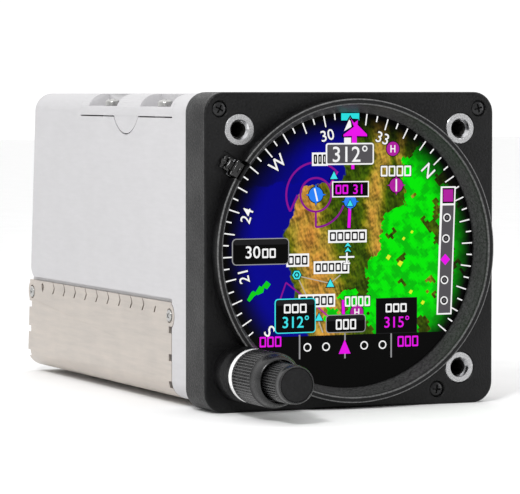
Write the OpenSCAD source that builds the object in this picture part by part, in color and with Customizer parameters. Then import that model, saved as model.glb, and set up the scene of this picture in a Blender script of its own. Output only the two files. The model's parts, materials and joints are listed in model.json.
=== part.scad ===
// Round-display panel instrument: a square bezel with a raised display ring, a dual concentric
// knob, a sheet-metal chassis with a top cover and a wrapped lower cover, and its inner pieces.
// Frame: millimetres, X to the pilot's right, Y back into the panel, Z up.
// The origin is the centre of the display on the bezel's flat panel face (Y = 0).

/* [Bezel] */
// Width of the bezel
bezel_w = 82.4; // [80:0.1:100]
// Height of the bezel
bezel_h = 82.0; // [80:0.1:100]
// Thickness of the bezel behind its panel face
bezel_t = 13; // [13:0.5:18]
// Corner radius of the bezel
bezel_corner_r = 5.5; // [3:0.5:8]
// Outer radius of the raised display ring
ring_r = 39.3; // [39:0.1:39.6]
// Height of the display ring above the panel face
ring_proud = 4.2; // [3:0.1:6]
// Width of the flat crest of the ring
ring_crest = 1.4; // [0.8:0.1:1.6]
// Radius of the visible display
window_r = 35.65; // [34:0.05:36]

/* [Mounting] */
// Spacing of the panel mounting holes, both ways
hole_pitch = 62.865; // [60:0.005:66]
// Outer radius of a threaded insert
insert_r = 4.1; // [3.5:0.1:4.3]
// Radius of the thread in an insert
insert_bore_r = 2.25; // [1.5:0.05:2.6]
// Length of an insert
insert_l = 10; // [6:0.5:11]

/* [Knob] */
// Height of the knob axis below the display centre
knob_drop = 30.8; // [28:0.1:31.4]
// Radius of the outer knob
outer_knob_r = 7.0; // [6.5:0.1:7.1]
// Distance from the panel face to the outer knob's front
outer_knob_reach = 26; // [24:0.5:32]
// Radius of the inner knob
inner_knob_r = 4.95; // [4.5:0.05:5.1]
// Length of the inner knob that shows in front of the outer knob
inner_knob_show = 10; // [7:0.5:14]
// Radius of the outer, hollow shaft
outer_shaft_r = 3.0; // [2.6:0.1:3.2]
// Radius of the inner shaft
inner_shaft_r = 1.7; // [1.2:0.1:1.9]
// Travel of the inner knob when pushed
push_travel = 0.6; // [0.3:0.1:0.8]

/* [Chassis] */
// Width of the chassis
chassis_w = 81.2; // [78:0.1:98]
// Height of the chassis
chassis_h = 79.8; // [78:0.1:98]
// Height of the chassis middle above the display centre
chassis_rise = 0.5; // [0:0.1:1]
// Distance from the panel face to the rear edge of the chassis at its top
chassis_reach = 130.4; // [126:0.5:170]
// Lean of the rear edge, as depth gained per height lost
rear_lean = 0.092; // [0:0.01:0.12]
// Thickness of the chassis wall
wall_t = 2.4; // [2.2:0.1:3.2]
// Corner radius of the chassis
chassis_corner_r = 5; // [4:0.5:6]

/* [Covers] */
// Thickness of the lower cover
cover_t = 0.8; // [0.6:0.1:1]
// Height of the lower cover's upper edge, below the display centre
cover_top = 14; // [10:0.5:18]
// Thickness of the top cover
lid_t = 1.5; // [1.2:0.1:1.8]
// Length of the top cover, front to back
lid_l = 69.1; // [66:0.1:76]
// Height of the top cover's seam above the display centre
seam_z = 34.2; // [33:0.1:35]
// Width of the tongue at the middle of the seam
tongue_w = 17.7; // [12:0.1:20]
// Depth of the tongue below the seam
tongue_drop = 4.4; // [3:0.1:6]
// Length of a screw scoop in the top cover
scoop_l = 22; // [16:0.5:24]

/* [Port] */
// Angle of the service port around the display, from +X towards +Z
port_angle = 147; // [143:1:150]
// Width of the notch for the port cover
notch_w = 5.2; // [5:0.1:6]

/* [Display stack] */
// Thickness of the cover glass
glass_t = 1.8; // [1:0.1:2]
// Thickness of the touch layer and of the seal around it
touch_t = 0.8; // [0.5:0.1:1]
// Thickness of the display panel
lcd_t = 2.4; // [1.5:0.1:2.6]
// Thickness of the backlight
backlight_t = 3.5; // [2:0.1:3.6]
// Thickness of the bracket behind the display
bracket_t = 1.5; // [1:0.1:1.8]

/* [Boards] */
// Thickness of a circuit board
board_t = 1.6; // [1:0.1:2]
// Length of the main board
main_board_l = 85; // [80:1:86]
// Width of the main board
main_board_w = 68; // [64:1:70]
// Height of the main board's standoffs
standoff_h = 11; // [8:0.5:12]

/* [Hidden] */
$fn = 64;

// Clearances
seat_gap = 0.03;      // round seats and threads within one body
run_gap = 0.05;       // radial clearance of a turning or sliding shaft
part_gap = 0.3;       // between pieces that move past each other
seam_gap = 0.35;      // visible seams between covers and chassis
eps = 0.5;            // overrun of a cutting tool

// Bezel and display stack, along Y
crest_r = ring_r - ring_crest;
bevel_foot_y = 0.8;
glass_y = 1.2;
touch_y = glass_y + glass_t;
lcd_y = touch_y + touch_t;
backlight_y = lcd_y + lcd_t;
bracket_y = backlight_y + backlight_t;
stack_r = window_r + 1.55;
touch_r = window_r + 0.15;
bracket_r = stack_r + 1.3;
bracket_ear_angles = [30, 120, 210, 330];
bracket_ear_pcr = bracket_r + 3.9;
bracket_ear_r = 2.6;
hole_xz = hole_pitch / 2;
insert_mouth_r = insert_bore_r + 0.35;
insert_mouth_t = 0.8;

// Screws: [thread radius, head radius, head height]
face_screw = [1.1, 1.75, 1.2];
small_screw = [0.9, 1.6, 0.9];
lid_screw = [1.1, 2.0, 1.9];
face_screw_recess_r = 2.15;
face_screw_recess_t = 1.6;
face_screw_edge = 4.3;        // from the bezel's edge to the face screws
low_screw_x = [-22.5, 24.9];  // the two lower screws clear the knob and the insert
face_screw_l = bezel_t + 2.6;

// Knob axis and its stack along Y, negative towards the pilot
knob_x = -hole_xz;
knob_z = -knob_drop;
boss_top_y = -8.7;
boss_foot_r = outer_knob_r + 0.15;
boss_neck_r = outer_knob_r - 0.4;
bushing_r = outer_shaft_r + 1.5;
nut_t = 1.7;
knob_rear_y = boss_top_y - part_gap;
band_t = 2;
band_wall = 0.65;
skirt_r = bushing_r + 1.4;
hub_y = knob_rear_y - nut_t - 0.5;
outer_shaft_tip_y = -outer_knob_reach + 4;
knob_web_y = -outer_knob_reach + 3;
knob_socket_r = inner_knob_r + 0.45;
inner_rear_y = knob_web_y - push_travel - 0.6;
inner_front_y = -outer_knob_reach - inner_knob_show;
cap_t = 0.5;
cap_r = inner_knob_r - 0.65;
inner_shaft_tip_y = inner_front_y + 3;
grub_r = 1.0;
grub_y = (hub_y + outer_shaft_tip_y) / 2;

// Encoder behind the bezel
encoder_w = 11;
encoder_wall = 1.3;
rotor_t = 1;
encoder_cavity_r = encoder_w / 2 - 1.4;
rotor_y = bezel_t + encoder_wall + part_gap;
plunger_y = rotor_y + rotor_t + 0.6;
plunger_r = inner_shaft_r + 0.9;
plunger_socket_l = 1.8;
plunger_l = plunger_socket_l + 0.7;
encoder_cavity_end = plunger_y + plunger_l + push_travel + 0.4;
encoder_l = encoder_cavity_end + encoder_wall - bezel_t;
stub_r = 1.5;
stub_l = encoder_wall + 0.3;
encoder_board_t = 1.2;
encoder_board_y = bezel_t + encoder_l;
encoder_board_rise = 4.3;

// Chassis
top_z = chassis_rise + chassis_h / 2;
floor_z = chassis_rise - chassis_h / 2;
inner_w = chassis_w - 2 * wall_t;
inner_h = chassis_h - 2 * wall_t;
inner_floor_z = floor_z + wall_t;
side_x = chassis_w / 2;
inner_x = inner_w / 2;
flange_t = 3;
flange_open = 66;
rim_end_y = bezel_t + 10.9;
recess_t = cover_t + 0.1;
recess_top_z = -cover_top + 1;

// Top cover
lid_y = bezel_t + 10.5;
scoop_floor_z = top_z - 3.3;
scoop_x = side_x - 6.5;
scoop_pitch = 39.4;
scoop_starts = [lid_y + 1.8, lid_y + 1.8 + scoop_pitch];
lid_screw_x = side_x - 3.2;
lid_screw_y = [for (start = scoop_starts) start + scoop_l / 2];
pad_z = scoop_floor_z - 1.5;
tongue_y = lid_y + lid_l / 2 - 0.7;
tongue_t = 1;
lid_boss_w = 7;
lid_boss_x = side_x - lid_t - 0.2;
end_gap = 0.06;               // the cover's tight front and rear seams

// Lower cover
ear_r = 3.3;
ear_z = -cover_top - 3.5;
cover_y = rim_end_y + 0.2;
cover_behind = 0.5;           // how far the cover's rear edge stands behind the shell's
ear_y = [cover_y + 1.5, chassis_reach + 3.6];
finger_pitch = 8.87;
finger_first_y = cover_y + 12.4;
finger_count = floor((chassis_reach - 3 - finger_first_y) / finger_pitch) + 1;
finger_h = 3.3;
finger_cut = 0.4;
notch_drops = [7.2, 14.5, 21.6];
notch_rear_y = chassis_reach + cover_behind + rear_lean * (top_z + cover_top) - 2;

// Rear plate, connectors and boards
rear_plate_t = 2.5;
rear_plate_y = chassis_reach - 3.9;
rear_face_y = rear_plate_y + rear_plate_t;
lug_r = 3.2;
lug_l = 14;
lug_xz = [[-inner_x + 4.6, -1], [inner_x - 4.6, -1], [-inner_x + 4.6, 1], [inner_x - 4.6, 1]];
main_board_y = bezel_t + 14;
main_board_z = inner_floor_z + standoff_h;
board_top_z = main_board_z + board_t;
standoff_xy = [for (x = [-1, 1]) for (y = [6, main_board_l - 6])
    [x * (main_board_w / 2 - 5), main_board_y + y]];
interface_y = rear_plate_y - 10.5;
interface_w = 62;
interface_top_z = 27;
interface_low_z = -30;
connector_flange_t = 1;
connector_proud = 5;
data_size = [38.9, 8.3, 53, 12.5, 47.04];   // shell width and height, flange width and height, post pitch
power_size = [17, 8.3, 30.8, 12.5, 24.99];
data_xz = [0, 14];
power_xz = [-13, -10];
post_af = 4.8;
post_l = 6;
post_hole_r = 1.1;
post_hole_l = 5;
post_stud_r = 1.2;
jack_xz = [22, -10];
jack_r = 4.8;
jack_flange_r = 7;
jack_bore_r = 3.2;
jack_inner_l = 14.5;
jack_proud = 7.6;
jack_nut_t = 2.5;

// Battery on its tray across the chassis
tray_z = 2;
tray_t = 1.2;
tray_y = main_board_y + 6;
tray_l = 66;
battery_w = 56;
battery_l = 60;
battery_h = 16;

// Flat cables, and the receiver that the coaxial cable ends on: its place and size on the main board
ribbon_t = 0.3;
ribbon_w = 16;
ribbon_slot_z = -20;
gps_place = [9, 50];
gps_size = [24, 24, 4];

// Service port, in its own frame: radii are from the display centre
port_hinge_r = ring_r + 2.2;
port_button_r = port_hinge_r + 1.5;
port_hinge_y = -0.9;
port_barrel_r = 0.6;
port_pin_r = 0.3;
port_barrel_w = 2;
socket_r = ring_r;
socket_size = [2.4, 5, 4.4];
notch_in_r = crest_r - 0.3;
port_pocket_r = port_button_r + 1.2;
port_pocket_t = 0.3;          // keeps the hinge's feet clear of a panel on the face

// Solids between two planes across an axis; 2D children are drawn in (X, Z), (Y, Z) or (X, Y)
module across_y(y0, y1) {
    translate([0, y1, 0]) rotate([90, 0, 0]) linear_extrude(y1 - y0) children();
}

module across_x(x0, x1) {
    translate([x0, 0, 0]) rotate([90, 0, 90]) linear_extrude(x1 - x0) children();
}

module across_z(z0, z1) {
    translate([0, 0, z0]) linear_extrude(z1 - z0) children();
}

// Rod along Y, with its ends at y0 and y1
module rod_y(y0, y1, r) {
    translate([0, y0, 0]) rotate([-90, 0, 0]) cylinder(h = y1 - y0, r = r);
}

// Turned solid about Y from [radius, y] points
module turned_y(points) {
    rotate([90, 0, 0]) rotate_extrude() polygon([for (p = points) [p[0], -p[1]]]);
}

module rounded_rect(w, h, r) {
    square([w - 2 * r, h], center = true);
    square([w, h - 2 * r], center = true);
    for (x = [-1, 1]) for (y = [-1, 1])
        translate([x * (w / 2 - r), y * (h / 2 - r)]) circle(r);
}

// A copy on each side of the object's middle plane
module both_sides() {
    children();
    mirror([1, 0, 0]) children();
}

module at_knob() { translate([knob_x, 0, knob_z]) children(); }

// Local frame of the port: +X outwards from the display centre, +Z along the ring
module at_port() { rotate([0, -port_angle, 0]) children(); }

// Flat-topped screw along +Y, its head's front face at y = 0
module screw_y(size, l) {
    rod_y(0, size[2], size[1]);
    rod_y(size[2], l, size[0]);
}

function face_screw_places() = [
    [-bezel_w / 2 + face_screw_edge, bezel_h / 2 - face_screw_edge],
    [bezel_w / 2 - face_screw_edge, bezel_h / 2 - face_screw_edge],
    [low_screw_x[0], -bezel_h / 2 + face_screw_edge - 0.3],
    [low_screw_x[1], -bezel_h / 2 + face_screw_edge - 0.3]
];

module at_each(places) {
    for (p = places) translate([p[0], 0, p[1]]) children();
}

module at_bracket_ears() {
    for (a = bracket_ear_angles) rotate([0, -a, 0]) translate([bracket_ear_pcr, 0, 0]) children();
}

// Ears that reach from the round bracket to its screws
module bracket_ears(y0, y1, r) {
    at_bracket_ears() {
        rod_y(y0, y1, r);
        translate([-bracket_ear_pcr + bracket_r - 0.8, y0, -r])
            cube([bracket_ear_pcr - bracket_r + 0.8, y1 - y0, 2 * r]);
    }
}

// ---- Front ----

module front_bezel() {
    color([0.13, 0.13, 0.14])
    difference() {
        union() {
            across_y(0, bezel_t) rounded_rect(bezel_w, bezel_h, bezel_corner_r);
            rod_y(-ring_proud, 1, ring_r);
            at_knob() turned_y([
                [0, 1], [boss_foot_r, 1], [boss_foot_r, -ring_proud], [boss_neck_r, -ring_proud - 1.5],
                [boss_neck_r, boss_top_y], [0, boss_top_y]]);
        }
        turned_y([
            [0, -ring_proud - 6], [crest_r, -ring_proud - 6], [crest_r, -ring_proud],
            [window_r, bevel_foot_y], [window_r, glass_y],
            [stack_r + 0.2, glass_y], [stack_r + 0.2, bracket_y],
            [bracket_r + 0.2, bracket_y], [bracket_r + 0.2, bezel_t + eps], [0, bezel_t + eps]]);
        bracket_ears(bracket_y, bezel_t + eps, bracket_ear_r + 0.2);
        at_bracket_ears() rod_y(bracket_y - 5, bracket_y + eps, small_screw[0] + seat_gap);
        at_each([[-hole_xz, hole_xz], [hole_xz, hole_xz], [hole_xz, -hole_xz]])
            rod_y(-eps, bezel_t + eps, insert_r + seat_gap);
        at_each(face_screw_places()) {
            rod_y(-eps, face_screw_recess_t, face_screw_recess_r);
            rod_y(0, bezel_t + eps, face_screw[0] + seat_gap);
        }
        at_knob() rod_y(boss_top_y - eps, bezel_t + eps, bushing_r + seat_gap);
        at_port() {
            translate([notch_in_r, -ring_proud - eps, -notch_w / 2])
                cube([port_pocket_r - notch_in_r, ring_proud + eps + port_pocket_t, notch_w]);
            translate([socket_r - socket_size[0] / 2 - seat_gap, -eps, -socket_size[2] / 2 - seat_gap])
                cube([socket_size[0] + 2 * seat_gap, socket_size[1] + eps, socket_size[2] + 2 * seat_gap]);
            translate([port_button_r, 0, 0]) rod_y(-eps, 2.5, 0.8 + seat_gap);
        }
    }
}

module insert(x, z) {
    color([0.8, 0.8, 0.78])
    translate([x, 0, z]) turned_y([
        [insert_mouth_r, 0], [insert_r, 0], [insert_r, insert_l], [insert_bore_r, insert_l],
        [insert_bore_r, insert_mouth_t]]);
}

module insert_top_left() { insert(-hole_xz, hole_xz); }
module insert_top_right() { insert(hole_xz, hole_xz); }
module insert_bottom_right() { insert(hole_xz, -hole_xz); }

module bezel_screws() {
    color([0.08, 0.08, 0.08])
    at_each(face_screw_places()) translate([0, face_screw_recess_t - face_screw[2], 0])
        screw_y(face_screw, face_screw_l);
}

module cover_glass() {
    color([0.1, 0.12, 0.16]) rod_y(glass_y, touch_y, stack_r);
}

module glass_gasket() {
    color([0.05, 0.05, 0.05]) difference() {
        rod_y(touch_y, lcd_y, stack_r);
        rod_y(touch_y - eps, lcd_y + eps, touch_r + 0.2);
    }
}

module touch_panel() {
    color([0.2, 0.25, 0.3]) rod_y(touch_y, lcd_y, touch_r);
}

module lcd_panel() {
    color([0.05, 0.1, 0.5]) rod_y(lcd_y, backlight_y, stack_r);
}

module backlight_unit() {
    color([0.9, 0.9, 0.85]) rod_y(backlight_y, bracket_y, stack_r);
}

module display_bracket() {
    color([0.7, 0.7, 0.72])
    difference() {
        union() {
            rod_y(bracket_y, bracket_y + bracket_t, bracket_r);
            bracket_ears(bracket_y, bracket_y + bracket_t, bracket_ear_r);
        }
        at_bracket_ears() rod_y(bracket_y - eps, bezel_t, small_screw[0] + 0.1);
        translate([-ribbon_w / 2 - 1, bracket_y - eps, ribbon_slot_z - 1.2])
            cube([ribbon_w + 2, bracket_t + 2 * eps, 2.4]);
    }
}

module display_bracket_screws() {
    color([0.75, 0.75, 0.75])
    at_bracket_ears() mirror([0, 1, 0])
        translate([0, -bracket_y - bracket_t - small_screw[2] / 2, 0])
            screw_y([small_screw[0], small_screw[1], small_screw[2] / 2], 4.5);
}

// Flat cable: a strip that follows [y, z] points
module ribbon(points, x0, x1) {
    half = ribbon_t / 2;
    last = len(points) - 1;
    function side(i) = let (
        a = points[max(i - 1, 0)], b = points[min(i + 1, last)], d = (b - a) / norm(b - a)
    ) [-d[1], d[0]] * half;
    across_x(x0, x1) polygon(concat(
        [for (i = [0 : last]) points[i] + side(i)],
        [for (i = [last : -1 : 0]) points[i] - side(i)]));
}

module display_ribbon() {
    lie_z = board_top_z + ribbon_t / 2;
    color([0.75, 0.5, 0.15])
    ribbon([
        [bracket_y, ribbon_slot_z], [main_board_y - 9, ribbon_slot_z], [main_board_y - 5, ribbon_slot_z - 1],
        [main_board_y, lie_z + 0.5], [main_board_y + 2, lie_z], [main_board_y + 6, lie_z]],
        -ribbon_w / 2, ribbon_w / 2);
}

// ---- Service port ----

module service_socket() {
    wall = 0.35;
    color([0.8, 0.8, 0.8])
    at_port() translate([socket_r - socket_size[0] / 2, 0, -socket_size[2] / 2]) {
        difference() {
            cube(socket_size);
            translate([wall, -eps, wall])
                cube([socket_size[0] - 2 * wall, socket_size[1] - 1 + eps, socket_size[2] - 2 * wall]);
        }
        translate([socket_size[0] / 2 - 0.25, 1, 0.9]) cube([0.5, socket_size[1] - 1.5, socket_size[2] - 1.8]);
    }
}

module port_cover_anchor() {
    ear_w = 0.6;
    ear_z0 = port_barrel_w / 2 + 0.1;
    color([0.06, 0.06, 0.06])
    at_port() {
        translate([port_button_r, 0, 0]) rod_y(-0.8, 2.3, 0.8);
        translate([port_hinge_r + 0.9, -0.5, -ear_z0 - ear_w])
            cube([0.9, 0.5 + port_pocket_t, 2 * (ear_z0 + ear_w)]);
        for (z = [-ear_z0 - ear_w, ear_z0]) translate([port_hinge_r - 0.5, port_hinge_y - 0.5, z])
            cube([1.5, 0.5 - port_hinge_y + port_pocket_t, ear_w]);
        translate([port_hinge_r, port_hinge_y, -ear_z0]) cylinder(h = 2 * ear_z0, r = port_pin_r);
    }
}

module port_cover() {
    flap_in_r = notch_in_r + 0.3;
    flap_out_r = port_hinge_r - 1;
    flap_w = notch_w - 0.7;
    flap_y = -part_gap;
    flap_t = 1.9;
    color([0.05, 0.05, 0.05])
    at_port() {
        translate([flap_in_r, flap_y - flap_t, -flap_w / 2]) cube([flap_out_r - flap_in_r, flap_t, flap_w]);
        for (rib = [[0.7, 1.6], [2.2, 3]])
            translate([flap_in_r + rib[0], flap_y - flap_t - 0.4, -rib[1] / 2]) cube([0.5, 0.5, rib[1]]);
        difference() {
            union() {
                translate([flap_out_r - 0.1, port_hinge_y - 0.4, -port_barrel_w / 2])
                    cube([1.1, 0.8, port_barrel_w]);
                translate([port_hinge_r, port_hinge_y, -port_barrel_w / 2])
                    cylinder(h = port_barrel_w, r = port_barrel_r);
            }
            translate([port_hinge_r, port_hinge_y, -port_barrel_w])
                cylinder(h = 2 * port_barrel_w, r = port_pin_r + run_gap);
        }
    }
}

// ---- Knobs and encoder ----

module outer_knob() {
    grip_r = outer_knob_r;
    color([0.22, 0.22, 0.23])
    at_knob() difference() {
        turned_y([
            [skirt_r, knob_rear_y], [grip_r - band_wall - seat_gap, knob_rear_y],
            [grip_r - band_wall - seat_gap, knob_rear_y - band_t], [grip_r, knob_rear_y - band_t],
            [grip_r, -outer_knob_reach + 3.4], [grip_r - 0.5, -outer_knob_reach + 1],
            [grip_r - 1.4, -outer_knob_reach], [knob_socket_r, -outer_knob_reach],
            [knob_socket_r, knob_web_y], [inner_shaft_r + 0.3, knob_web_y],
            [inner_shaft_r + 0.3, outer_shaft_tip_y - 0.3], [outer_shaft_r + seat_gap, outer_shaft_tip_y - 0.3],
            [outer_shaft_r + seat_gap, hub_y], [skirt_r, hub_y]]);
        translate([0, grub_y, -outer_knob_r - eps]) cylinder(h = outer_knob_r, r = grub_r + seat_gap);
    }
}

module outer_knob_ring() {
    color([0.85, 0.85, 0.85])
    at_knob() difference() {
        rod_y(knob_rear_y - band_t + seat_gap, knob_rear_y, outer_knob_r - 0.05);
        rod_y(knob_rear_y - band_t - eps, knob_rear_y + eps, outer_knob_r - band_wall);
    }
}

module outer_shaft() {
    color([0.78, 0.74, 0.62])
    at_knob() difference() {
        union() {
            rod_y(outer_shaft_tip_y, rotor_y + rotor_t, outer_shaft_r);
            rod_y(rotor_y, rotor_y + rotor_t, encoder_cavity_r - part_gap);
        }
        rod_y(outer_shaft_tip_y - eps, rotor_y + rotor_t + eps, inner_shaft_r + run_gap);
    }
}

module knob_grub_screw() {
    socket_l = 1;
    grub_l = 2.9;
    color([0.1, 0.1, 0.1])
    at_knob() translate([0, grub_y, -outer_shaft_r - seat_gap - grub_l]) difference() {
        cylinder(h = grub_l, r = grub_r);
        translate([0, 0, -eps]) cylinder(h = socket_l + eps, r = 0.45);
    }
}

module inner_knob() {
    edge_r = inner_knob_r - 0.25;
    color([0.16, 0.16, 0.17])
    at_knob() turned_y([
        [inner_shaft_r + seat_gap, inner_rear_y], [inner_knob_r, inner_rear_y],
        [inner_knob_r, inner_front_y + 1.5], [edge_r, inner_front_y],
        [cap_r + seat_gap, inner_front_y], [cap_r + seat_gap, inner_front_y + cap_t],
        [0, inner_front_y + cap_t], [0, inner_shaft_tip_y], [inner_shaft_r + seat_gap, inner_shaft_tip_y]]);
}

module inner_knob_cap() {
    color([0.1, 0.1, 0.1]) at_knob() rod_y(inner_front_y + 0.1, inner_front_y + cap_t, cap_r);
}

module inner_shaft() {
    color([0.78, 0.74, 0.62])
    at_knob() rod_y(inner_shaft_tip_y, plunger_y + plunger_socket_l - part_gap, inner_shaft_r);
}

module push_plunger() {
    color([0.9, 0.88, 0.8])
    at_knob() difference() {
        union() {
            rod_y(plunger_y, plunger_y + plunger_l, plunger_r);
            rod_y(plunger_y, plunger_y + plunger_l + stub_l, stub_r);
        }
        rod_y(plunger_y - eps, plunger_y + plunger_socket_l, inner_shaft_r + run_gap);
    }
}

module encoder_body() {
    color([0.12, 0.12, 0.12])
    at_knob() difference() {
        across_y(bezel_t, bezel_t + encoder_l) square(encoder_w, center = true);
        rod_y(bezel_t - eps, bezel_t + encoder_wall + eps, outer_shaft_r + run_gap);
        rod_y(bezel_t + encoder_wall, encoder_cavity_end, encoder_cavity_r);
        rod_y(encoder_cavity_end - eps, encoder_board_y + eps, stub_r + run_gap);
    }
}

module encoder_bushing() {
    color([0.75, 0.65, 0.4])
    at_knob() difference() {
        rod_y(boss_top_y - nut_t - 0.2, bezel_t, bushing_r);
        rod_y(boss_top_y - nut_t - eps, bezel_t + eps, outer_shaft_r + run_gap);
    }
}

module encoder_nut() {
    color([0.7, 0.7, 0.7])
    at_knob() difference() {
        translate([0, boss_top_y, 0]) rotate([90, 0, 0]) cylinder(h = nut_t, r = skirt_r - 0.4, $fn = 6);
        rod_y(boss_top_y - nut_t - eps, boss_top_y + eps, bushing_r + seat_gap);
    }
}

module encoder_board() {
    color([0.1, 0.4, 0.15])
    translate([knob_x - encoder_w / 2, encoder_board_y, knob_z - encoder_w / 2])
        cube([encoder_w, encoder_board_t, encoder_w + encoder_board_rise]);
}

module encoder_ribbon() {
    lie_z = board_top_z + ribbon_t / 2;
    start_y = encoder_board_y + encoder_board_t;
    start_z = board_top_z + 2;
    color([0.75, 0.5, 0.15])
    ribbon([
        [start_y, start_z], [start_y + 1.5, start_z], [main_board_y - 0.5, lie_z + 0.5],
        [main_board_y + 1.5, lie_z], [main_board_y + 3, lie_z]],
        knob_x - 1, knob_x + 5);
}

// ---- Chassis and covers ----

module outer_profile(inset = 0) {
    translate([0, chassis_rise])
        rounded_rect(chassis_w - 2 * inset, chassis_h - 2 * inset, chassis_corner_r - inset);
}

// Everything behind the leaning rear edge, moved back by gap
module behind_rear(gap = 0) {
    across_x(-bezel_w, bezel_w) polygon([
        [chassis_reach + gap, top_z], [chassis_reach + gap - rear_lean * 10, top_z + 10],
        [chassis_reach + 60, top_z + 10], [chassis_reach + 60, floor_z - 10],
        [chassis_reach + gap + rear_lean * (chassis_h + 10), floor_z - 10]]);
}

// Pocket in the rounded top edge for a screw
module scoop(start) {
    translate([scoop_x, start, scoop_floor_z]) cube([side_x, scoop_l, top_z]);
}

// The tongue's outline in (Y, Z): the lower part of a disc, grown by gap
module tongue_outline(gap) {
    r = (pow(tongue_w / 2, 2) + pow(tongue_drop, 2)) / (2 * tongue_drop);
    intersection() {
        translate([tongue_y, seam_z - tongue_drop + r]) circle(r + gap);
        translate([tongue_y - tongue_w, seam_z - 2 * tongue_drop]) square([2 * tongue_w, 2 * tongue_drop + 1]);
    }
}

module ear_discs(x0, x1, grow) {
    for (y = ear_y) translate([0, y, ear_z]) rotate([0, 90, 0])
        translate([0, 0, x0]) cylinder(h = x1 - x0, r = ear_r + grow);
}

module lower_recess() {
    difference() {
        translate([-side_x - eps, rim_end_y - 0.1, floor_z - eps])
            cube([chassis_w + 2 * eps, chassis_reach + 30, recess_top_z - floor_z + eps]);
        across_y(rim_end_y - 1, chassis_reach + 31) outer_profile(recess_t);
    }
    both_sides() ear_discs(side_x - recess_t, side_x + eps, 0.3);
}

module chassis_shell() {
    color([0.86, 0.86, 0.87])
    difference() {
        union() {
            difference() {
                across_y(bezel_t, chassis_reach + 20) outer_profile();
                across_y(bezel_t + flange_t, chassis_reach + 21) outer_profile(wall_t);
                behind_rear();
                translate([-side_x - eps, lid_y, seam_z])
                    cube([chassis_w + 2 * eps, lid_l, top_z - seam_z + eps]);
                across_y(bezel_t - eps, bezel_t + flange_t + eps) square(flange_open, center = true);
                translate([knob_x - encoder_w / 2 - 0.5, bezel_t - eps, knob_z - encoder_w / 2 - 0.4])
                    cube([encoder_w + 1, flange_t + 2 * eps, encoder_w + encoder_board_rise + 1]);
                lower_recess();
            }
            both_sides() for (y = lid_screw_y)
                translate([lid_boss_x - lid_boss_w, y - lid_boss_w / 2, pad_z - 7])
                    cube([lid_boss_w, lid_boss_w, 7]);
            for (p = lug_xz) {
                z = p[1] > 0 ? top_z - wall_t - 4.6 : inner_floor_z + 4.6;
                translate([p[0], 0, z]) {
                    rod_y(rear_plate_y - lug_l, rear_plate_y, lug_r);
                    translate([p[0] > 0 ? 0 : -4.7, rear_plate_y - lug_l, -lug_r]) cube([4.7, lug_l, 2 * lug_r]);
                }
            }
        }
        across_x(side_x - tongue_t - 0.2, side_x + eps) tongue_outline(seam_gap);
        mirror([1, 0, 0]) across_x(side_x - tongue_t - 0.2, side_x + eps) tongue_outline(seam_gap);
        at_each(face_screw_places()) rod_y(bezel_t - eps, bezel_t + flange_t + eps, face_screw[0] + seat_gap);
        both_sides() for (y = lid_screw_y)
            translate([lid_screw_x, y, pad_z - 5.6]) cylinder(h = 6, r = lid_screw[0] + seat_gap);
        both_sides() for (y = ear_y) translate([side_x - wall_t - 0.1, y, ear_z]) rotate([0, 90, 0])
            cylinder(h = wall_t, r = small_screw[0] + seat_gap);
        for (p = lug_xz) {
            z = p[1] > 0 ? top_z - wall_t - 4.6 : inner_floor_z + 4.6;
            translate([p[0], 0, z]) rod_y(rear_plate_y - 9, rear_plate_y + eps, face_screw[0] + seat_gap);
        }
    }
}

module top_cover() {
    y0 = lid_y + end_gap;
    y1 = lid_y + lid_l - end_gap;
    skirt_z = seam_z + seam_gap;
    color([0.88, 0.88, 0.89])
    difference() {
        union() {
            intersection() {
                difference() {
                    across_y(y0, y1) outer_profile();
                    across_y(y0 - eps, y1 + eps) outer_profile(lid_t);
                }
                translate([-side_x, y0, skirt_z]) cube([chassis_w, y1 - y0, chassis_h]);
            }
            intersection() {
                across_y(y0, y1) outer_profile();
                both_sides() for (start = scoop_starts)
                    translate([scoop_x - lid_t, start - lid_t, pad_z]) cube([side_x, scoop_l + 2 * lid_t, top_z]);
            }
            both_sides() {
                across_x(side_x - tongue_t, side_x - 0.1) intersection() {
                    tongue_outline(0);
                    translate([y0, seam_z - 10]) square([y1 - y0, 20]);
                }
            }
        }
        both_sides() for (start = scoop_starts) scoop(start);
        both_sides() for (y = lid_screw_y)
            translate([lid_screw_x, y, pad_z - eps]) cylinder(h = 4, r = lid_screw[0] + 0.15);
    }
}

module top_cover_screws() {
    color([0.7, 0.7, 0.7])
    both_sides() for (y = lid_screw_y) translate([lid_screw_x, y, 0]) {
        translate([0, 0, scoop_floor_z]) cylinder(h = lid_screw[2], r = lid_screw[1]);
        translate([0, 0, pad_z - 5]) cylinder(h = scoop_floor_z - pad_z + 5.1, r = lid_screw[0]);
    }
}

module lower_cover() {
    color([0.8, 0.76, 0.72])
    difference() {
        union() {
            difference() {
                across_y(cover_y, chassis_reach + 20) outer_profile();
                across_y(cover_y - eps, chassis_reach + 21) outer_profile(cover_t);
                translate([-bezel_w, 0, -cover_top]) cube([2 * bezel_w, 2 * chassis_reach, bezel_h]);
                behind_rear(cover_behind);
            }
            both_sides() ear_discs(side_x - cover_t, side_x, 0);
        }
        both_sides() {
            for (y = ear_y) translate([side_x - cover_t - eps, y, ear_z]) rotate([0, 90, 0])
                cylinder(h = cover_t + 2 * eps, r = small_screw[0] + 0.1);
            for (i = [0 : finger_count - 1])
                translate([side_x - 2, finger_first_y + i * finger_pitch, -cover_top - finger_h])
                    cube([3, finger_cut, finger_h + eps]);
            for (d = notch_drops) {
                translate([side_x - 2, cover_y - eps, -cover_top - d - 0.9]) cube([3, 2 + eps, 1.8]);
                translate([side_x - 2, notch_rear_y + rear_lean * d, -cover_top - d - 0.9]) cube([3, 12, 1.8]);
            }
        }
    }
}

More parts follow.
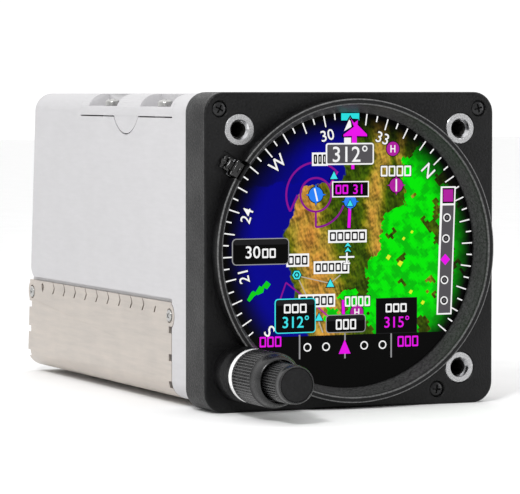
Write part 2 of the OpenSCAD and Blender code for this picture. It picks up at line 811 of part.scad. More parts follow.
module lower_cover_screws() {
    color([0.7, 0.7, 0.7])
    both_sides() for (y = ear_y) translate([side_x, y, ear_z]) rotate([0, 90, 0]) {
        cylinder(h = 0.5, r = small_screw[1]);
        translate([0, 0, -wall_t]) cylinder(h = wall_t + 0.1, r = small_screw[0]);
    }
}

// ---- Rear plate and connectors ----

module d_outline(w, h) {
    slant = h * tan(10) / 2;
    polygon([[-w / 2, h / 2], [w / 2, h / 2], [w / 2 - 2 * slant, -h / 2], [-w / 2 + 2 * slant, -h / 2]]);
}

module rear_plate() {
    plate_gap = 0.1;
    color([0.72, 0.72, 0.74])
    difference() {
        across_y(rear_plate_y, rear_face_y) outer_profile(wall_t + plate_gap);
        for (p = lug_xz) {
            z = p[1] > 0 ? top_z - wall_t - 4.6 : inner_floor_z + 4.6;
            translate([p[0], 0, z]) rod_y(rear_plate_y - eps, rear_face_y + eps, face_screw[0] + 0.15);
        }
        for (c = [[data_xz, data_size], [power_xz, power_size]]) translate([c[0][0], 0, c[0][1]]) {
            across_y(rear_plate_y - eps, rear_face_y + eps) d_outline(c[1][0] + 0.4, c[1][1] + 0.4);
            for (x = [-1, 1]) translate([x * c[1][4] / 2, 0, 0])
                rod_y(rear_plate_y - eps, rear_face_y + eps, post_stud_r + 0.15);
        }
        translate([jack_xz[0], 0, jack_xz[1]]) rod_y(rear_plate_y - eps, rear_face_y + eps, jack_r + 0.1);
    }
}

module rear_plate_screws() {
    color([0.7, 0.7, 0.7])
    for (p = lug_xz) {
        z = p[1] > 0 ? top_z - wall_t - 4.6 : inner_floor_z + 4.6;
        translate([p[0], rear_face_y, z]) {
            rod_y(0, 1.4, 2.2);
            rod_y(-rear_plate_t - 6, 0.1, face_screw[0]);
        }
    }
}

module connector_shell(xz, size) {
    shell_t = 0.5;
    y1 = rear_face_y + connector_proud;
    color([0.75, 0.75, 0.72])
    translate([xz[0], 0, xz[1]]) difference() {
        union() {
            across_y(rear_plate_y - connector_flange_t, rear_plate_y) square([size[2], size[3]], center = true);
            across_y(rear_plate_y - connector_flange_t, y1) d_outline(size[0], size[1]);
        }
        across_y(rear_plate_y - 2, y1 + eps) d_outline(size[0] - 2 * shell_t, size[1] - 2 * shell_t);
        for (x = [-1, 1]) translate([x * size[4] / 2, 0, 0])
            rod_y(rear_plate_y - 2, rear_plate_y + eps, post_stud_r + seat_gap);
    }
}

module connector_insert(xz, size) {
    fit_gap = 0.55;
    color([0.08, 0.08, 0.09])
    translate([xz[0], 0, xz[1]])
        across_y(interface_y + board_t, rear_face_y + connector_proud - 0.6)
            d_outline(size[0] - 2 * fit_gap, size[1] - 2 * fit_gap);
}

module data_connector_shell() { connector_shell(data_xz, data_size); }
module data_connector_insert() { connector_insert(data_xz, data_size); }
module power_connector_shell() { connector_shell(power_xz, power_size); }
module power_connector_insert() { connector_insert(power_xz, power_size); }

module connector_jack_posts() {
    color([0.78, 0.76, 0.7])
    for (c = [[data_xz, data_size], [power_xz, power_size]]) for (x = [-1, 1])
        translate([c[0][0] + x * c[1][4] / 2, rear_face_y, c[0][1]]) difference() {
            union() {
                rotate([-90, 0, 0]) cylinder(h = post_l, r = post_af / sqrt(3), $fn = 6);
                rod_y(-rear_plate_t - connector_flange_t - 2, 0.1, post_stud_r);
            }
            rod_y(post_l - post_hole_l, post_l + eps, post_hole_r);
        }
}

module antenna_jack() {
    color([0.82, 0.72, 0.42])
    translate([jack_xz[0], 0, jack_xz[1]]) difference() {
        union() {
            rod_y(rear_plate_y - jack_inner_l, rear_face_y + jack_proud, jack_r);
            rod_y(rear_plate_y - 1.6, rear_plate_y, jack_flange_r);
        }
        rod_y(rear_face_y - 6, rear_face_y + jack_proud + eps, jack_bore_r + seat_gap);
    }
}

module antenna_jack_insert() {
    color([0.95, 0.95, 0.93])
    translate([jack_xz[0], 0, jack_xz[1]]) rod_y(rear_face_y - 6, rear_face_y + jack_proud - 0.6, jack_bore_r);
}

module antenna_jack_nut() {
    color([0.75, 0.75, 0.72])
    translate([jack_xz[0], rear_face_y, jack_xz[1]]) difference() {
        rotate([-90, 0, 0]) cylinder(h = jack_nut_t, r = jack_flange_r, $fn = 6);
        rod_y(-eps, jack_nut_t + eps, jack_r + seat_gap);
    }
}

// ---- Boards and inner pieces ----

module main_board() {
    color([0.1, 0.35, 0.15])
    difference() {
        translate([-main_board_w / 2, main_board_y, main_board_z]) cube([main_board_w, main_board_l, board_t]);
        for (p = standoff_xy) translate([p[0], p[1], main_board_z - eps])
            cylinder(h = board_t + 2 * eps, r = face_screw[0] + 0.15);
    }
}

module board_standoffs() {
    color([0.78, 0.7, 0.45])
    for (p = standoff_xy) translate([p[0], p[1], inner_floor_z]) difference() {
        cylinder(h = standoff_h, r = 2.8, $fn = 6);
        translate([0, 0, standoff_h - 7]) cylinder(h = 7 + eps, r = face_screw[0] + seat_gap);
    }
}

module board_screws() {
    color([0.75, 0.75, 0.75])
    for (p = standoff_xy) translate([p[0], p[1], board_top_z]) {
        cylinder(h = 1.4, r = 2.1);
        translate([0, 0, -board_t - 5]) cylinder(h = board_t + 5.1, r = face_screw[0]);
    }
}

// Box on top of the main board: corner in X and Y from the board's middle and front edge
module on_board(x, y, size) {
    translate([x, main_board_y + y, board_top_z]) cube(size);
}

module processor_shield() {
    color([0.75, 0.75, 0.77]) on_board(-20, 12, [32, 30, 4.5]);
}

module gps_receiver() {
    color([0.8, 0.8, 0.82]) {
        on_board(gps_place[0], gps_place[1], gps_size);
        translate([jack_xz[0], main_board_y + gps_place[1] + 10, board_top_z + gps_size[2]])
            cylinder(h = 2.5, r = 1.8);
    }
}

module power_converter() {
    color([0.15, 0.15, 0.16]) on_board(-28, 46, [26, 24, 9]);
}

module board_connector() {
    l = 9;
    color([0.1, 0.1, 0.1])
    translate([-19, interface_y - l, board_top_z]) cube([38, l, 7]);
}

module interface_board() {
    color([0.1, 0.35, 0.15])
    difference() {
        translate([-interface_w / 2, interface_y, interface_low_z])
            cube([interface_w, board_t, interface_top_z - interface_low_z]);
        translate([jack_xz[0], 0, jack_xz[1]]) rod_y(interface_y - eps, interface_y + board_t + eps, jack_r + 1.2);
    }
}

module battery_bracket() {
    lip_h = 9;
    color([0.72, 0.72, 0.74]) {
        translate([-inner_x, tray_y, tray_z]) cube([inner_w, tray_l, tray_t]);
        both_sides() translate([inner_x - tray_t, tray_y, tray_z]) cube([tray_t, tray_l, lip_h]);
    }
}

module battery_pack() {
    color([0.15, 0.3, 0.55])
    translate([0, tray_y + 3, 0]) across_z(tray_z + tray_t, tray_z + tray_t + battery_h)
        translate([0, battery_l / 2]) rounded_rect(battery_w, battery_l, 3);
}

// Round cable in a plane of constant X, swept along [y, z] points
module cable(x, points, r) {
    sides = 8;
    last = len(points) - 1;
    function normal(i) = let (
        a = points[max(i - 1, 0)], b = points[min(i + 1, last)], d = (b - a) / norm(b - a)
    ) [-d[1], d[0]];
    rings = [for (i = [0 : last]) for (k = [0 : sides - 1])
        let (a = 360 * k / sides, n = normal(i))
        [x + r * cos(a), points[i][0] + r * sin(a) * n[0], points[i][1] + r * sin(a) * n[1]]];
    faces = concat(
        [[for (k = [0 : sides - 1]) k]],
        [for (i = [0 : last - 1]) for (k = [0 : sides - 1])
            let (m = (k + 1) % sides)
            [i * sides + m, i * sides + k, (i + 1) * sides + k, (i + 1) * sides + m]],
        [[for (k = [sides - 1 : -1 : 0]) last * sides + k]]);
    polyhedron(rings, faces, convexity = 6);
}

module antenna_coax() {
    start_y = rear_plate_y - jack_inner_l;
    end_y = main_board_y + gps_place[1] + 10;
    end_z = board_top_z + gps_size[2] + 2.5;
    bend = jack_xz[1] - end_z - 1;
    color([0.2, 0.16, 0.12])
    cable(jack_xz[0], concat(
        [[start_y, jack_xz[1]], [start_y - 4, jack_xz[1]]],
        [for (a = [0 : 15 : 90]) [end_y + bend - bend * sin(a), end_z + 1 + bend * cos(a)]],
        [[end_y, end_z + 0.5], [end_y, end_z]]), 1.1);
}

module battery_lead() {
    lead_x = -15;
    start_y = tray_y + 3;
    start_z = tray_z + tray_t + 6;
    bend = 4;
    color([0.6, 0.1, 0.1])
    cable(lead_x, concat(
        [[start_y, start_z]],
        [for (a = [0 : 15 : 90]) [start_y - 1 - bend * sin(a), start_z - bend + bend * cos(a)]],
        [[start_y - 1 - bend, board_top_z + 1], [start_y - 1 - bend, board_top_z]]), 0.9);
}

front_bezel();
insert_top_left();
insert_top_right();
insert_bottom_right();
bezel_screws();
cover_glass();
glass_gasket();
touch_panel();
lcd_panel();
backlight_unit();
display_bracket();
display_bracket_screws();
display_ribbon();
service_socket();
port_cover_anchor();
port_cover();
outer_knob();
outer_knob_ring();
outer_shaft();
knob_grub_screw();
inner_knob();
inner_knob_cap();
inner_shaft();
push_plunger();
encoder_body();
encoder_bushing();
encoder_nut();
encoder_board();
encoder_ribbon();
chassis_shell();
top_cover();
top_cover_screws();
lower_cover();
lower_cover_screws();
rear_plate();
rear_plate_screws();
main_board();
board_standoffs();
board_screws();
processor_shield();
gps_receiver();
power_converter();
board_connector();
interface_board();
battery_bracket();
battery_pack();
battery_lead();
data_connector_shell();
data_connector_insert();
power_connector_shell();
power_connector_insert();
connector_jack_posts();
antenna_jack();
antenna_jack_insert();
antenna_jack_nut();
antenna_coax();
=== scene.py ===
"""Looks of a panel-mounted round flight display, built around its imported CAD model.

Every length in this file is in millimetres, in the CAD frame: X to the right, Y to the rear, Z up, with
the origin at the display's centre on the front face. Meshes are scaled to metres when they are placed.
"""

import json
import logging
import math
from collections.abc import Callable, Iterable, Sequence
from dataclasses import dataclass, field
from enum import Enum

import bmesh
import bpy
from mathutils import Matrix, Vector


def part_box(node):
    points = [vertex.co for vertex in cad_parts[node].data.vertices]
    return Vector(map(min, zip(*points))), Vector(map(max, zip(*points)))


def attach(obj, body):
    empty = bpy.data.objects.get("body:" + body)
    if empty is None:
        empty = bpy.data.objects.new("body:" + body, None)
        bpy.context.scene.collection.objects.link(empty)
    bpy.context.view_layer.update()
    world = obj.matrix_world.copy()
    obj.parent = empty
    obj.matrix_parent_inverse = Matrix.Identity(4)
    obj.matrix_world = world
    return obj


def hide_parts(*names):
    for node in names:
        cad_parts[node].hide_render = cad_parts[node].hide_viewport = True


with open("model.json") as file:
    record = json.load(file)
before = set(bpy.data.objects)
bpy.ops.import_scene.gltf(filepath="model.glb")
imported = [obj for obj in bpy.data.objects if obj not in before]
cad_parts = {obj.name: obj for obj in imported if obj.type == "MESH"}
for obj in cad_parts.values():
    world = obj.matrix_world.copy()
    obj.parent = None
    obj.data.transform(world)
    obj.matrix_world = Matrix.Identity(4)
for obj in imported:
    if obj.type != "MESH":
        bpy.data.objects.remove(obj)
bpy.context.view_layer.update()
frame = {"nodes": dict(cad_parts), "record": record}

MM = 0.001
SMOOTH_ANGLE = 32.0
MAP_REACH = 36
ECHO_TURN = 38
UNLIT = (0.001, 0.001, 0.001, 1)
LOG = logging.getLogger("flight_display")

Point = tuple[float, float]
Colour = tuple[float, float, float]
Loop = list[Vector]


class Body(Enum):
    """CAD body that a piece moves with."""

    INSTRUMENT = "instrument"
    OUTER_KNOB = "outer_knob"
    INNER_KNOB = "inner_knob"
    PORT_COVER = "port_cover"


class Facing(Enum):
    """Plane that a flat outline is drawn in, as the turn from (x, y) to the CAD frame."""

    FRONT = Matrix(((1, 0, 0, 0), (0, 0, -1, 0), (0, 1, 0, 0), (0, 0, 0, 1)))
    SIDE = Matrix(((0, 0, 1, 0), (1, 0, 0, 0), (0, 1, 0, 0), (0, 0, 0, 1)))


def srgb(red: int, green: int, blue: int) -> Colour:
    """Turns a display colour of 0 to 255 into linear light.

    Args:
        red: Red share.
        green: Green share.
        blue: Blue share.

    Returns:
        The colour as the shader takes it.
    """
    return tuple(
        (c / 255 / 12.92) if c < 11 else ((c / 255 + 0.055) / 1.055) ** 2.4
        for c in (red, green, blue))


# ---- Shader nodes ----


class Graph:
    """A material's node tree, with short calls that add a node and give back its output."""

    def __init__(self, name: str) -> None:
        """Starts a material with only its surface shader.

        Args:
            name: The material's name.
        """
        self.material = bpy.data.materials.new(name)
        self.material.use_nodes = True
        self.tree = self.material.node_tree
        self.shader = next(n for n in self.tree.nodes if n.type == "BSDF_PRINCIPLED")

    def node(self, kind: str, **settings: object) -> bpy.types.Node:
        """Adds a node and sets its properties.

        Args:
            kind: Type of the node.
            **settings: Its properties.

        Returns:
            The node.
        """
        made = self.tree.nodes.new(kind)
        for name, value in settings.items():
            setattr(made, name, value)
        return made

    def feed(self, socket: bpy.types.NodeSocket, value: object) -> None:
        """Links an output into a socket, or sets the socket to a constant.

        Args:
            socket: The input.
            value: An output to link, or a constant.
        """
        if isinstance(value, bpy.types.NodeSocket):
            self.tree.links.new(value, socket)
        else:
            socket.default_value = value

    def place(self, scale: Sequence[float] = (1, 1, 1), turn: float = 0.0) -> bpy.types.NodeSocket:
        """Gives the point on the piece in millimetres, stretched and turned about Y.

        Args:
            scale: Stretch along X, Y and Z.
            turn: Turn about Y, in degrees.

        Returns:
            The vector output.
        """
        mapping = self.node("ShaderNodeMapping")
        self.feed(mapping.inputs["Vector"], self.node("ShaderNodeTexCoord").outputs["Object"])
        mapping.inputs["Scale"].default_value = [s / MM for s in scale]
        mapping.inputs["Rotation"].default_value = (0, math.radians(turn), 0)
        return mapping.outputs["Vector"]

    def coordinates(self) -> tuple[bpy.types.NodeSocket, ...]:
        """Gives X, Y and Z of the point on the piece, in millimetres."""
        parts = self.node("ShaderNodeSeparateXYZ")
        self.feed(parts.inputs[0], self.place())
        return tuple(parts.outputs)

    def noise(
        self, where: bpy.types.NodeSocket, per_mm: float, detail: float = 4, rough: float = 0.55
    ) -> bpy.types.NodeSocket:
        """Adds fractal noise with about so many features to a millimetre.

        Args:
            where: The point it is read at.
            per_mm: Features to a millimetre.
            detail: Number of finer layers.
            rough: Share of each finer layer.

        Returns:
            The noise, from 0 to 1.
        """
        made = self.node("ShaderNodeTexNoise")
        self.feed(made.inputs["Vector"], where)
        for name, value in (("Scale", per_mm), ("Detail", detail), ("Roughness", rough)):
            self.feed(made.inputs[name], value)
        return made.outputs["Fac"]

    def math(self, kind: str, a: object, b: object = 0.0) -> bpy.types.NodeSocket:
        """Adds a Math node.

        Args:
            kind: The operation.
            a: First value.
            b: Second value.

        Returns:
            The result.
        """
        made = self.node("ShaderNodeMath", operation=kind)
        self.feed(made.inputs[0], a)
        self.feed(made.inputs[1], b)
        return made.outputs[0]

    def plus(self, a: object, b: object) -> bpy.types.NodeSocket:
        """Adds two values."""
        return self.math("ADD", a, b)

    def minus(self, a: object, b: object) -> bpy.types.NodeSocket:
        """Takes the second value from the first."""
        return self.math("SUBTRACT", a, b)

    def times(self, a: object, b: object) -> bpy.types.NodeSocket:
        """Multiplies two values."""
        return self.math("MULTIPLY", a, b)

    def apart(self, a: object, b: object) -> bpy.types.NodeSocket:
        """Gives how far apart two values are."""
        return self.math("ABSOLUTE", self.minus(a, b))

    def radius(self, x: object, z: object) -> bpy.types.NodeSocket:
        """Gives the distance from the display's axis."""
        return self.math("SQRT", self.plus(self.times(x, x), self.times(z, z)))

    def step(
        self, value: object, low: float, high: float, to_low: float = 0.0, to_high: float = 1.0
    ) -> bpy.types.NodeSocket:
        """Maps low..high to to_low..to_high with smooth ends.

        Args:
            value: What is mapped.
            low: Where the step starts.
            high: Where it ends.
            to_low: Result at the start.
            to_high: Result at the end.

        Returns:
            The mapped value.
        """
        made = self.node("ShaderNodeMapRange", interpolation_type="SMOOTHSTEP")
        for index, item in enumerate((value, low, high, to_low, to_high)):
            self.feed(made.inputs[index], item)
        return made.outputs[0]

    def ramp(self, value: object, stops: Sequence[tuple[float, Colour]]) -> bpy.types.NodeSocket:
        """Adds a colour ramp.

        Args:
            value: Where on the ramp, from 0 to 1.
            stops: Place and colour of each stop.

        Returns:
            The colour output.
        """
        made = self.node("ShaderNodeValToRGB")
        elements = made.color_ramp.elements
        while len(elements) < len(stops):
            elements.new(0.5)
        for element, (place, colour) in zip(elements, stops):
            element.position = place
            element.color = (*colour, 1)
        self.feed(made.inputs[0], value)
        return made.outputs[0]

    def curve(
        self, value: object, low: float, high: float, points: Sequence[Point]
    ) -> bpy.types.NodeSocket:
        """Reads a value off a line through points, with both axes running from low to high.

        Args:
            value: Where the line is read.
            low: Lowest value on both axes.
            high: Highest value on both axes.
            points: Points of the line.

        Returns:
            The value on the line.
        """
        span = high - low
        where = self.math("DIVIDE", self.minus(value, low), span)
        grey = [((p - low) / span, ((v - low) / span,) * 3) for p, v in sorted(points)]
        return self.plus(self.times(self.ramp(where, grey), span), low)

    def mix(self, share: object, a: object, b: object) -> bpy.types.NodeSocket:
        """Mixes two colours.

        Args:
            share: Share of the second colour.
            a: First colour.
            b: Second colour.

        Returns:
            The mixed colour.
        """
        made = self.node("ShaderNodeMix", data_type="RGBA")
        self.feed(made.inputs[0], share)
        for socket, value in ((made.inputs[6], a), (made.inputs[7], b)):
            self.feed(socket, (*value, 1) if isinstance(value, tuple) else value)
        return made.outputs[2]

    def bump(self, height: bpy.types.NodeSocket, depth: float) -> None:
        """Sends a height into the shader's normal, with its depth in millimetres.

        Args:
            height: The height, from 0 to 1.
            depth: Its depth in millimetres.
        """
        made = self.node("ShaderNodeBump")
        made.inputs["Distance"].default_value = depth * MM
        self.feed(made.inputs["Height"], height)
        self.feed(self.shader.inputs["Normal"], made.outputs["Normal"])

    def set(self, **sockets: object) -> None:
        """Sets or links sockets of the surface shader, with underscores for the spaces in their names."""
        for name, value in sockets.items():
            self.feed(self.shader.inputs[name.replace("_", " ")], value)


@dataclass(frozen=True)
class Finish:
    """A surface with grain, gentle mottling and, where asked for, a painted highlight that lightens its
    edges.

    Attributes:
        slot: Material slot of the record.
        colour: Display colour of the surface.
        rough: Mean roughness.
        metal: 1 for bare metal.
        shine: Specular level.
        grain: Features of the fine grain to a millimetre.
        depth: Depth of the grain in millimetres.
        mottle: Share by which the colour varies.
        spread: How far the roughness varies to each side.
        brushed: Stretch of the grain along X, Y and Z.
        coat: Clear coat.
    """

    slot: str
    colour: tuple[int, int, int]
    rough: float = 0.5
    metal: float = 0.0
    shine: float = 0.5
    grain: float = 4.0
    depth: float = 0.01
    mottle: float = 0.12
    spread: float = 0.08
    brushed: tuple[float, float, float] = (1, 1, 1)
    coat: float = 0.0

    def build(self, highlight_mask: Callable[[Graph], bpy.types.NodeSocket] | None = None) -> bpy.types.Material:
        """Makes the material.

        Args:
            highlight_mask: Gives where a painted highlight lightens the surface, from 0 to 1.

        Returns:
            The material, named for its slot.
        """
        graph = Graph(self.slot)
        base = srgb(*self.colour)
        fine = graph.noise(graph.place(self.brushed), self.grain)
        broad = graph.noise(graph.place(), 0.09, 3)
        shade = graph.plus(graph.times(fine, 0.6), graph.times(broad, 0.4))
        dark, light = (tuple(min(1.0, c * (1 + k * self.mottle)) for c in base) for k in (-1, 1))
        colour = graph.ramp(shade, ((0.35, dark), (0.65, light)))
        # Painted highlight: a much lighter colour is mixed in where the mask is set, broken up by the
        # grain.
        if highlight_mask:
            patchy_highlight = graph.times(highlight_mask(graph), graph.step(fine, 0.25, 0.7, 0.35, 1.0))
            colour = graph.mix(patchy_highlight, colour, tuple(min(1.0, c * 2.0 + 0.16) for c in base))
        graph.set(
            Base_Color=colour,
            Roughness=graph.step(shade, 0.3, 0.7, self.rough - self.spread, self.rough + self.spread))
        graph.set(Metallic=self.metal, Specular_IOR_Level=self.shine, Coat_Weight=self.coat)
        graph.bump(fine, self.depth)
        return graph.material


FINISHES = (
    Finish(
        "bezel_black", (11, 11, 12), rough=0.42, shine=0.22, grain=1.7, depth=0.12, mottle=0.9, spread=0.14
    ),
    Finish(
        "insert_steel", (206, 206, 208), rough=0.3, metal=1.0, grain=7, depth=0.006, mottle=0.1,
        brushed=(1, 5, 1)),
    Finish("black_screw", (30, 30, 31), rough=0.34, metal=0.3, shine=0.4, grain=3, depth=0.02, mottle=0.4),
    Finish("display_glass", (6, 6, 7), rough=0.12, shine=0.1, grain=1.5, depth=0.0005),
    Finish("seal_rubber", (30, 30, 31), rough=0.75, shine=0.2, grain=5, depth=0.012),
    Finish("touch_film", (52, 54, 58), rough=0.2, shine=0.5, grain=2, depth=0.001),
    Finish("lcd_layer", (28, 34, 46), rough=0.25, shine=0.5, grain=8, depth=0.001),
    Finish("backlight_white", (228, 230, 228), rough=0.6, grain=2, depth=0.004, mottle=0.04),
    Finish(
        "sheet_aluminium", (186, 188, 190), rough=0.42, metal=1.0, grain=2.5, depth=0.004, brushed=(8, 1, 1)
    ),
    Finish("plain_screw", (182, 182, 180), rough=0.32, metal=1.0, grain=5, depth=0.006),
    Finish("flex_amber", (176, 112, 42), rough=0.4, grain=3, depth=0.004, coat=0.3),
    Finish("socket_metal", (196, 198, 202), rough=0.28, metal=1.0, grain=4, depth=0.004),
    Finish("port_rubber", (9, 9, 9), rough=0.2, shine=0.7, grain=2, depth=0.0012, mottle=0.3),
    Finish("knob_black", (22, 22, 23), rough=0.27, shine=0.5, grain=2.4, depth=0.02, mottle=0.4),
    Finish("knob_band", (246, 246, 246), rough=0.32, shine=0.5, grain=3, depth=0.003, mottle=0.03),
    Finish("shaft_brass", (186, 150, 88), rough=0.3, metal=1.0, grain=4, depth=0.004, brushed=(1, 6, 1)),
    Finish("cap_black", (17, 17, 18), rough=0.5, shine=0.2, grain=1.8, depth=0.05, mottle=0.7),
    Finish("plunger_nylon", (224, 220, 208), rough=0.5, grain=3, depth=0.004, mottle=0.05),
    Finish("encoder_black", (38, 38, 40), rough=0.5, grain=4, depth=0.006),
    Finish("circuit_board", (18, 74, 44), rough=0.38, grain=1.2, depth=0.006, mottle=0.3, coat=0.4),
    Finish(
        "chassis_paint", (190, 189, 191), rough=0.4, shine=0.4, grain=1.1, depth=0.004, mottle=0.045,
        spread=0.05, brushed=(1, 0.16, 1)),
    Finish(
        "cover_nickel", (190, 182, 174), rough=0.36, metal=0.75, grain=0.9, depth=0.0006, mottle=0.12,
        brushed=(1, 0.08, 1)),
    Finish("rear_metal", (190, 191, 194), rough=0.4, metal=0.9, grain=3, depth=0.006, brushed=(0.2, 1, 1)),
    Finish("shield_can", (200, 202, 204), rough=0.3, metal=1.0, grain=1.5, depth=0.005),
    Finish("module_black", (32, 32, 33), rough=0.55, grain=3, depth=0.006),
    Finish("battery_wrap", (42, 66, 120), rough=0.4, grain=1.5, depth=0.01, coat=0.2),
    Finish("lead_red", (170, 30, 26), rough=0.45, grain=3, depth=0.006),
    Finish("connector_shell", (198, 196, 190), rough=0.34, metal=1.0, grain=3, depth=0.006),
    Finish("connector_black", (30, 30, 31), rough=0.55, grain=4, depth=0.01),
    Finish("jack_gold", (214, 176, 92), rough=0.24, metal=1.0, grain=4, depth=0.004),
    Finish("ptfe_white", (236, 236, 232), rough=0.5, grain=3, depth=0.004, mottle=0.03),
    Finish("coax_brown", (112, 70, 40), rough=0.5, grain=5, depth=0.01),)


class Paintbox:
    """All the finishes by slot, and the record's slot of each CAD node."""

    def __init__(self) -> None:
        """Builds every finish once."""
        self.finishes = {finish.slot: finish for finish in FINISHES}
        self.materials = {finish.slot: finish.build() for finish in FINISHES}
        self.slot_of = {row["node"]: row["material_slot"] for row in frame["record"]["subparts"]}

    def dress_cad(self) -> None:
        """Gives every CAD node the finish of its own slot."""
        for name, piece in frame["nodes"].items():
            piece.data.materials.clear()
            piece.data.materials.append(self.materials[self.slot_of[name]])


# ---- Mesh tools ----


def arc(centre: Point, radius: float, start: float, end: float, steps: int) -> list[Point]:
    """Points of an arc, counter-clockwise angles in degrees, both ends included."""
    angles = (math.radians(start + (end - start) * i / steps) for i in range(steps + 1))
    return [(centre[0] + radius * math.cos(a), centre[1] + radius * math.sin(a)) for a in angles]


def disc(centre: Point, radius: float, steps: int = 48) -> list[Point]:
    """Points round a circle, with no repeat at its end."""
    return arc(centre, radius, 0, 360, steps)[:-1]


def box_outline(low: Point, high: Point, radius: float = 0.0, steps: int = 8) -> list[Point]:
    """Outline of a rectangle, with rounded corners if radius is given.

    Args:
        low: Lowest corner.
        high: Highest corner.
        radius: Radius of the corners.
        steps: Sides of each rounded corner.

    Returns:
        The outline's points.
    """
    if not radius:
        return [low, (high[0], low[1]), high, (low[0], high[1])]
    (x0, y0), (x1, y1) = low, high
    corners = ((x1 - radius, y1 - radius, 0), (x0 + radius, y1 - radius, 90),
               (x0 + radius, y0 + radius, 180), (x1 - radius, y0 + radius, 270))
    return [p for x, y, start in corners for p in arc((x, y), radius, start, start + 90, steps)]


def mesh_from(build: bmesh.types.BMesh, name: str) -> bpy.types.Mesh:
    """Writes a bmesh in millimetres to a new mesh in metres.

    Args:
        build: The bmesh, which is freed.
        name: The mesh's name.

    Returns:
        The mesh.
    """
    bmesh.ops.recalc_face_normals(build, faces=build.faces)
    bmesh.ops.scale(build, vec=(MM, MM, MM), verts=build.verts)
    mesh = bpy.data.meshes.new(name)
    build.to_mesh(mesh)
    build.free()
    return mesh


def loft(rings: Sequence[Loop], closed: bool = False) -> bmesh.types.BMesh:
    """Skins a row of rings that have the same number of points.

    Args:
        rings: The rings in order.
        closed: True joins the last ring to the first, False caps both ends.

    Returns:
        The closed solid.
    """
    build = bmesh.new()
    rows = [[build.verts.new(p) for p in ring] for ring in rings]
    pairs = list(zip(rows, rows[1:])) + ([(rows[-1], rows[0])] if closed else [])
    for a, b in pairs:
        for i in range(len(a)):
            j = (i + 1) % len(a)
            build.faces.new((a[i], a[j], b[j], b[i]))
    if not closed:
        build.faces.new(rows[0])
        build.faces.new(rows[-1])
    return build


def turned(
    profile: Sequence[Point], steps: int, axis: Point = (0, 0),
    reach: Callable[[float, float, float], float] | None = None
) -> bmesh.types.BMesh:
    """Turns a closed profile of (radius, y) about a line along Y.

    Args:
        profile: The profile's points; those at radius 0 become poles.
        steps: Number of points round the turn.
        axis: X and Z of the line.
        reach: Gives the radius for a turn angle, a radius and a y, for ribs and threads.

    Returns:
        The closed solid.
    """
    build = bmesh.new()
    rows = []
    for radius, y in profile:
        if radius == 0:
            rows.append([build.verts.new((axis[0], y, axis[1]))])
            continue
        row = []
        for i in range(steps):
            a = 2 * math.pi * i / steps
            r = reach(a, radius, y) if reach else radius
            row.append(build.verts.new((axis[0] + r * math.cos(a), y, axis[1] + r * math.sin(a))))
        rows.append(row)
    for a, b in zip(rows, rows[1:] + rows[:1]):
        if len(a) == 1 and len(b) == 1:
            continue
        for i in range(steps):
            j = (i + 1) % steps
            if len(a) == 1:
                build.faces.new((a[0], b[j], b[i]))
            elif len(b) == 1:
                build.faces.new((a[i], a[j], b[0]))
            else:
                build.faces.new((a[i], a[j], b[j], b[i]))
    return build


def rounded(profile: Sequence[Point], radius: float, steps: int = 3) -> list[Point]:
    """Rounds the corners of a closed profile, leaving those on the axis sharp.

    Args:
        profile: Corner points.
        radius: Radius of each corner, less where a side is short.
        steps: Points added at each corner.

    Returns:
        The rounded profile.
    """
    points = [Vector(p) for p in profile]
    result: list[Point] = []
    for i, corner in enumerate(points):
        before, after = points[i - 1], points[(i + 1) % len(points)]
        if corner.x == 0:
            result.append(tuple(corner))
            continue
        cut = min(radius, (before - corner).length * 0.45, (after - corner).length * 0.45)
        a = corner + (before - corner).normalized() * cut
        b = corner + (after - corner).normalized() * cut
        for k in range(steps + 1):
            t = k / steps
            result.append(tuple(a * (1 - t) ** 2 + corner * 2 * t * (1 - t) + b * t * t))
    return result


def plate(
    outlines: Sequence[Sequence[Point]], low: float, high: float, facing: Facing = Facing.FRONT,
    edge: float = 0.0, steps: int = 2
) -> bmesh.types.BMesh:
    """Makes a flat plate from an outline and any holes inside it, with rounded edges.

    Args:
        outlines: The outline first, then the holes.
        low: Coordinate of one face along the plate's normal.
        high: Coordinate of the other face.
        facing: The plane it is drawn in.
        edge: Radius of its edges.
        steps: Faces across each rounded edge.

    Returns:
        The solid plate.
    """
    curve = bpy.data.curves.new("outline", "CURVE")
    curve.dimensions = "2D"
    curve.fill_mode = "BOTH"
    curve.extrude = (high - low) / 2 - edge
    curve.bevel_depth = edge
    curve.bevel_resolution = steps - 1
    curve.offset = -edge
    for outline in outlines:
        spline = curve.splines.new("POLY")
        spline.points.add(len(outline) - 1)
        for point, (x, y) in zip(spline.points, outline):
            point.co = (x, y, 0, 1)
        spline.use_cyclic_u = True
    build = curve_solid(curve)
    middle = (low + high) / 2
    shift = Vector((0, middle, 0)) if facing is Facing.FRONT else Vector((middle, 0, 0))
    bmesh.ops.transform(build, matrix=Matrix.Translation(shift) @ facing.value, verts=build.verts)
    return build


def curve_solid(curve: bpy.types.Curve) -> bmesh.types.BMesh:
    """Turns a filled curve or a text into a bmesh, and removes the curve.

    Args:
        curve: The curve, which is removed.

    Returns:
        The solid.
    """
    holder = bpy.data.objects.new("outline", curve)
    bpy.context.scene.collection.objects.link(holder)
    mesh = bpy.data.meshes.new_from_object(holder.evaluated_get(bpy.context.evaluated_depsgraph_get()))
    bpy.data.objects.remove(holder)
    bpy.data.curves.remove(curve)
    build = bmesh.new()
    build.from_mesh(mesh)
    bpy.data.meshes.remove(mesh)
    bmesh.ops.remove_doubles(build, verts=build.verts, dist=1e-4)
    return build


def merged(parts: Iterable[bmesh.types.BMesh]) -> bmesh.types.BMesh:
    """Joins solids into one bmesh.

    Args:
        parts: The solids, which are freed.

    Returns:
        All of them in one bmesh.
    """
    whole = bmesh.new()
    for part in parts:
        spare = bpy.data.meshes.new("part")
        part.to_mesh(spare)
        part.free()
        whole.from_mesh(spare)
        bpy.data.meshes.remove(spare)
    return whole


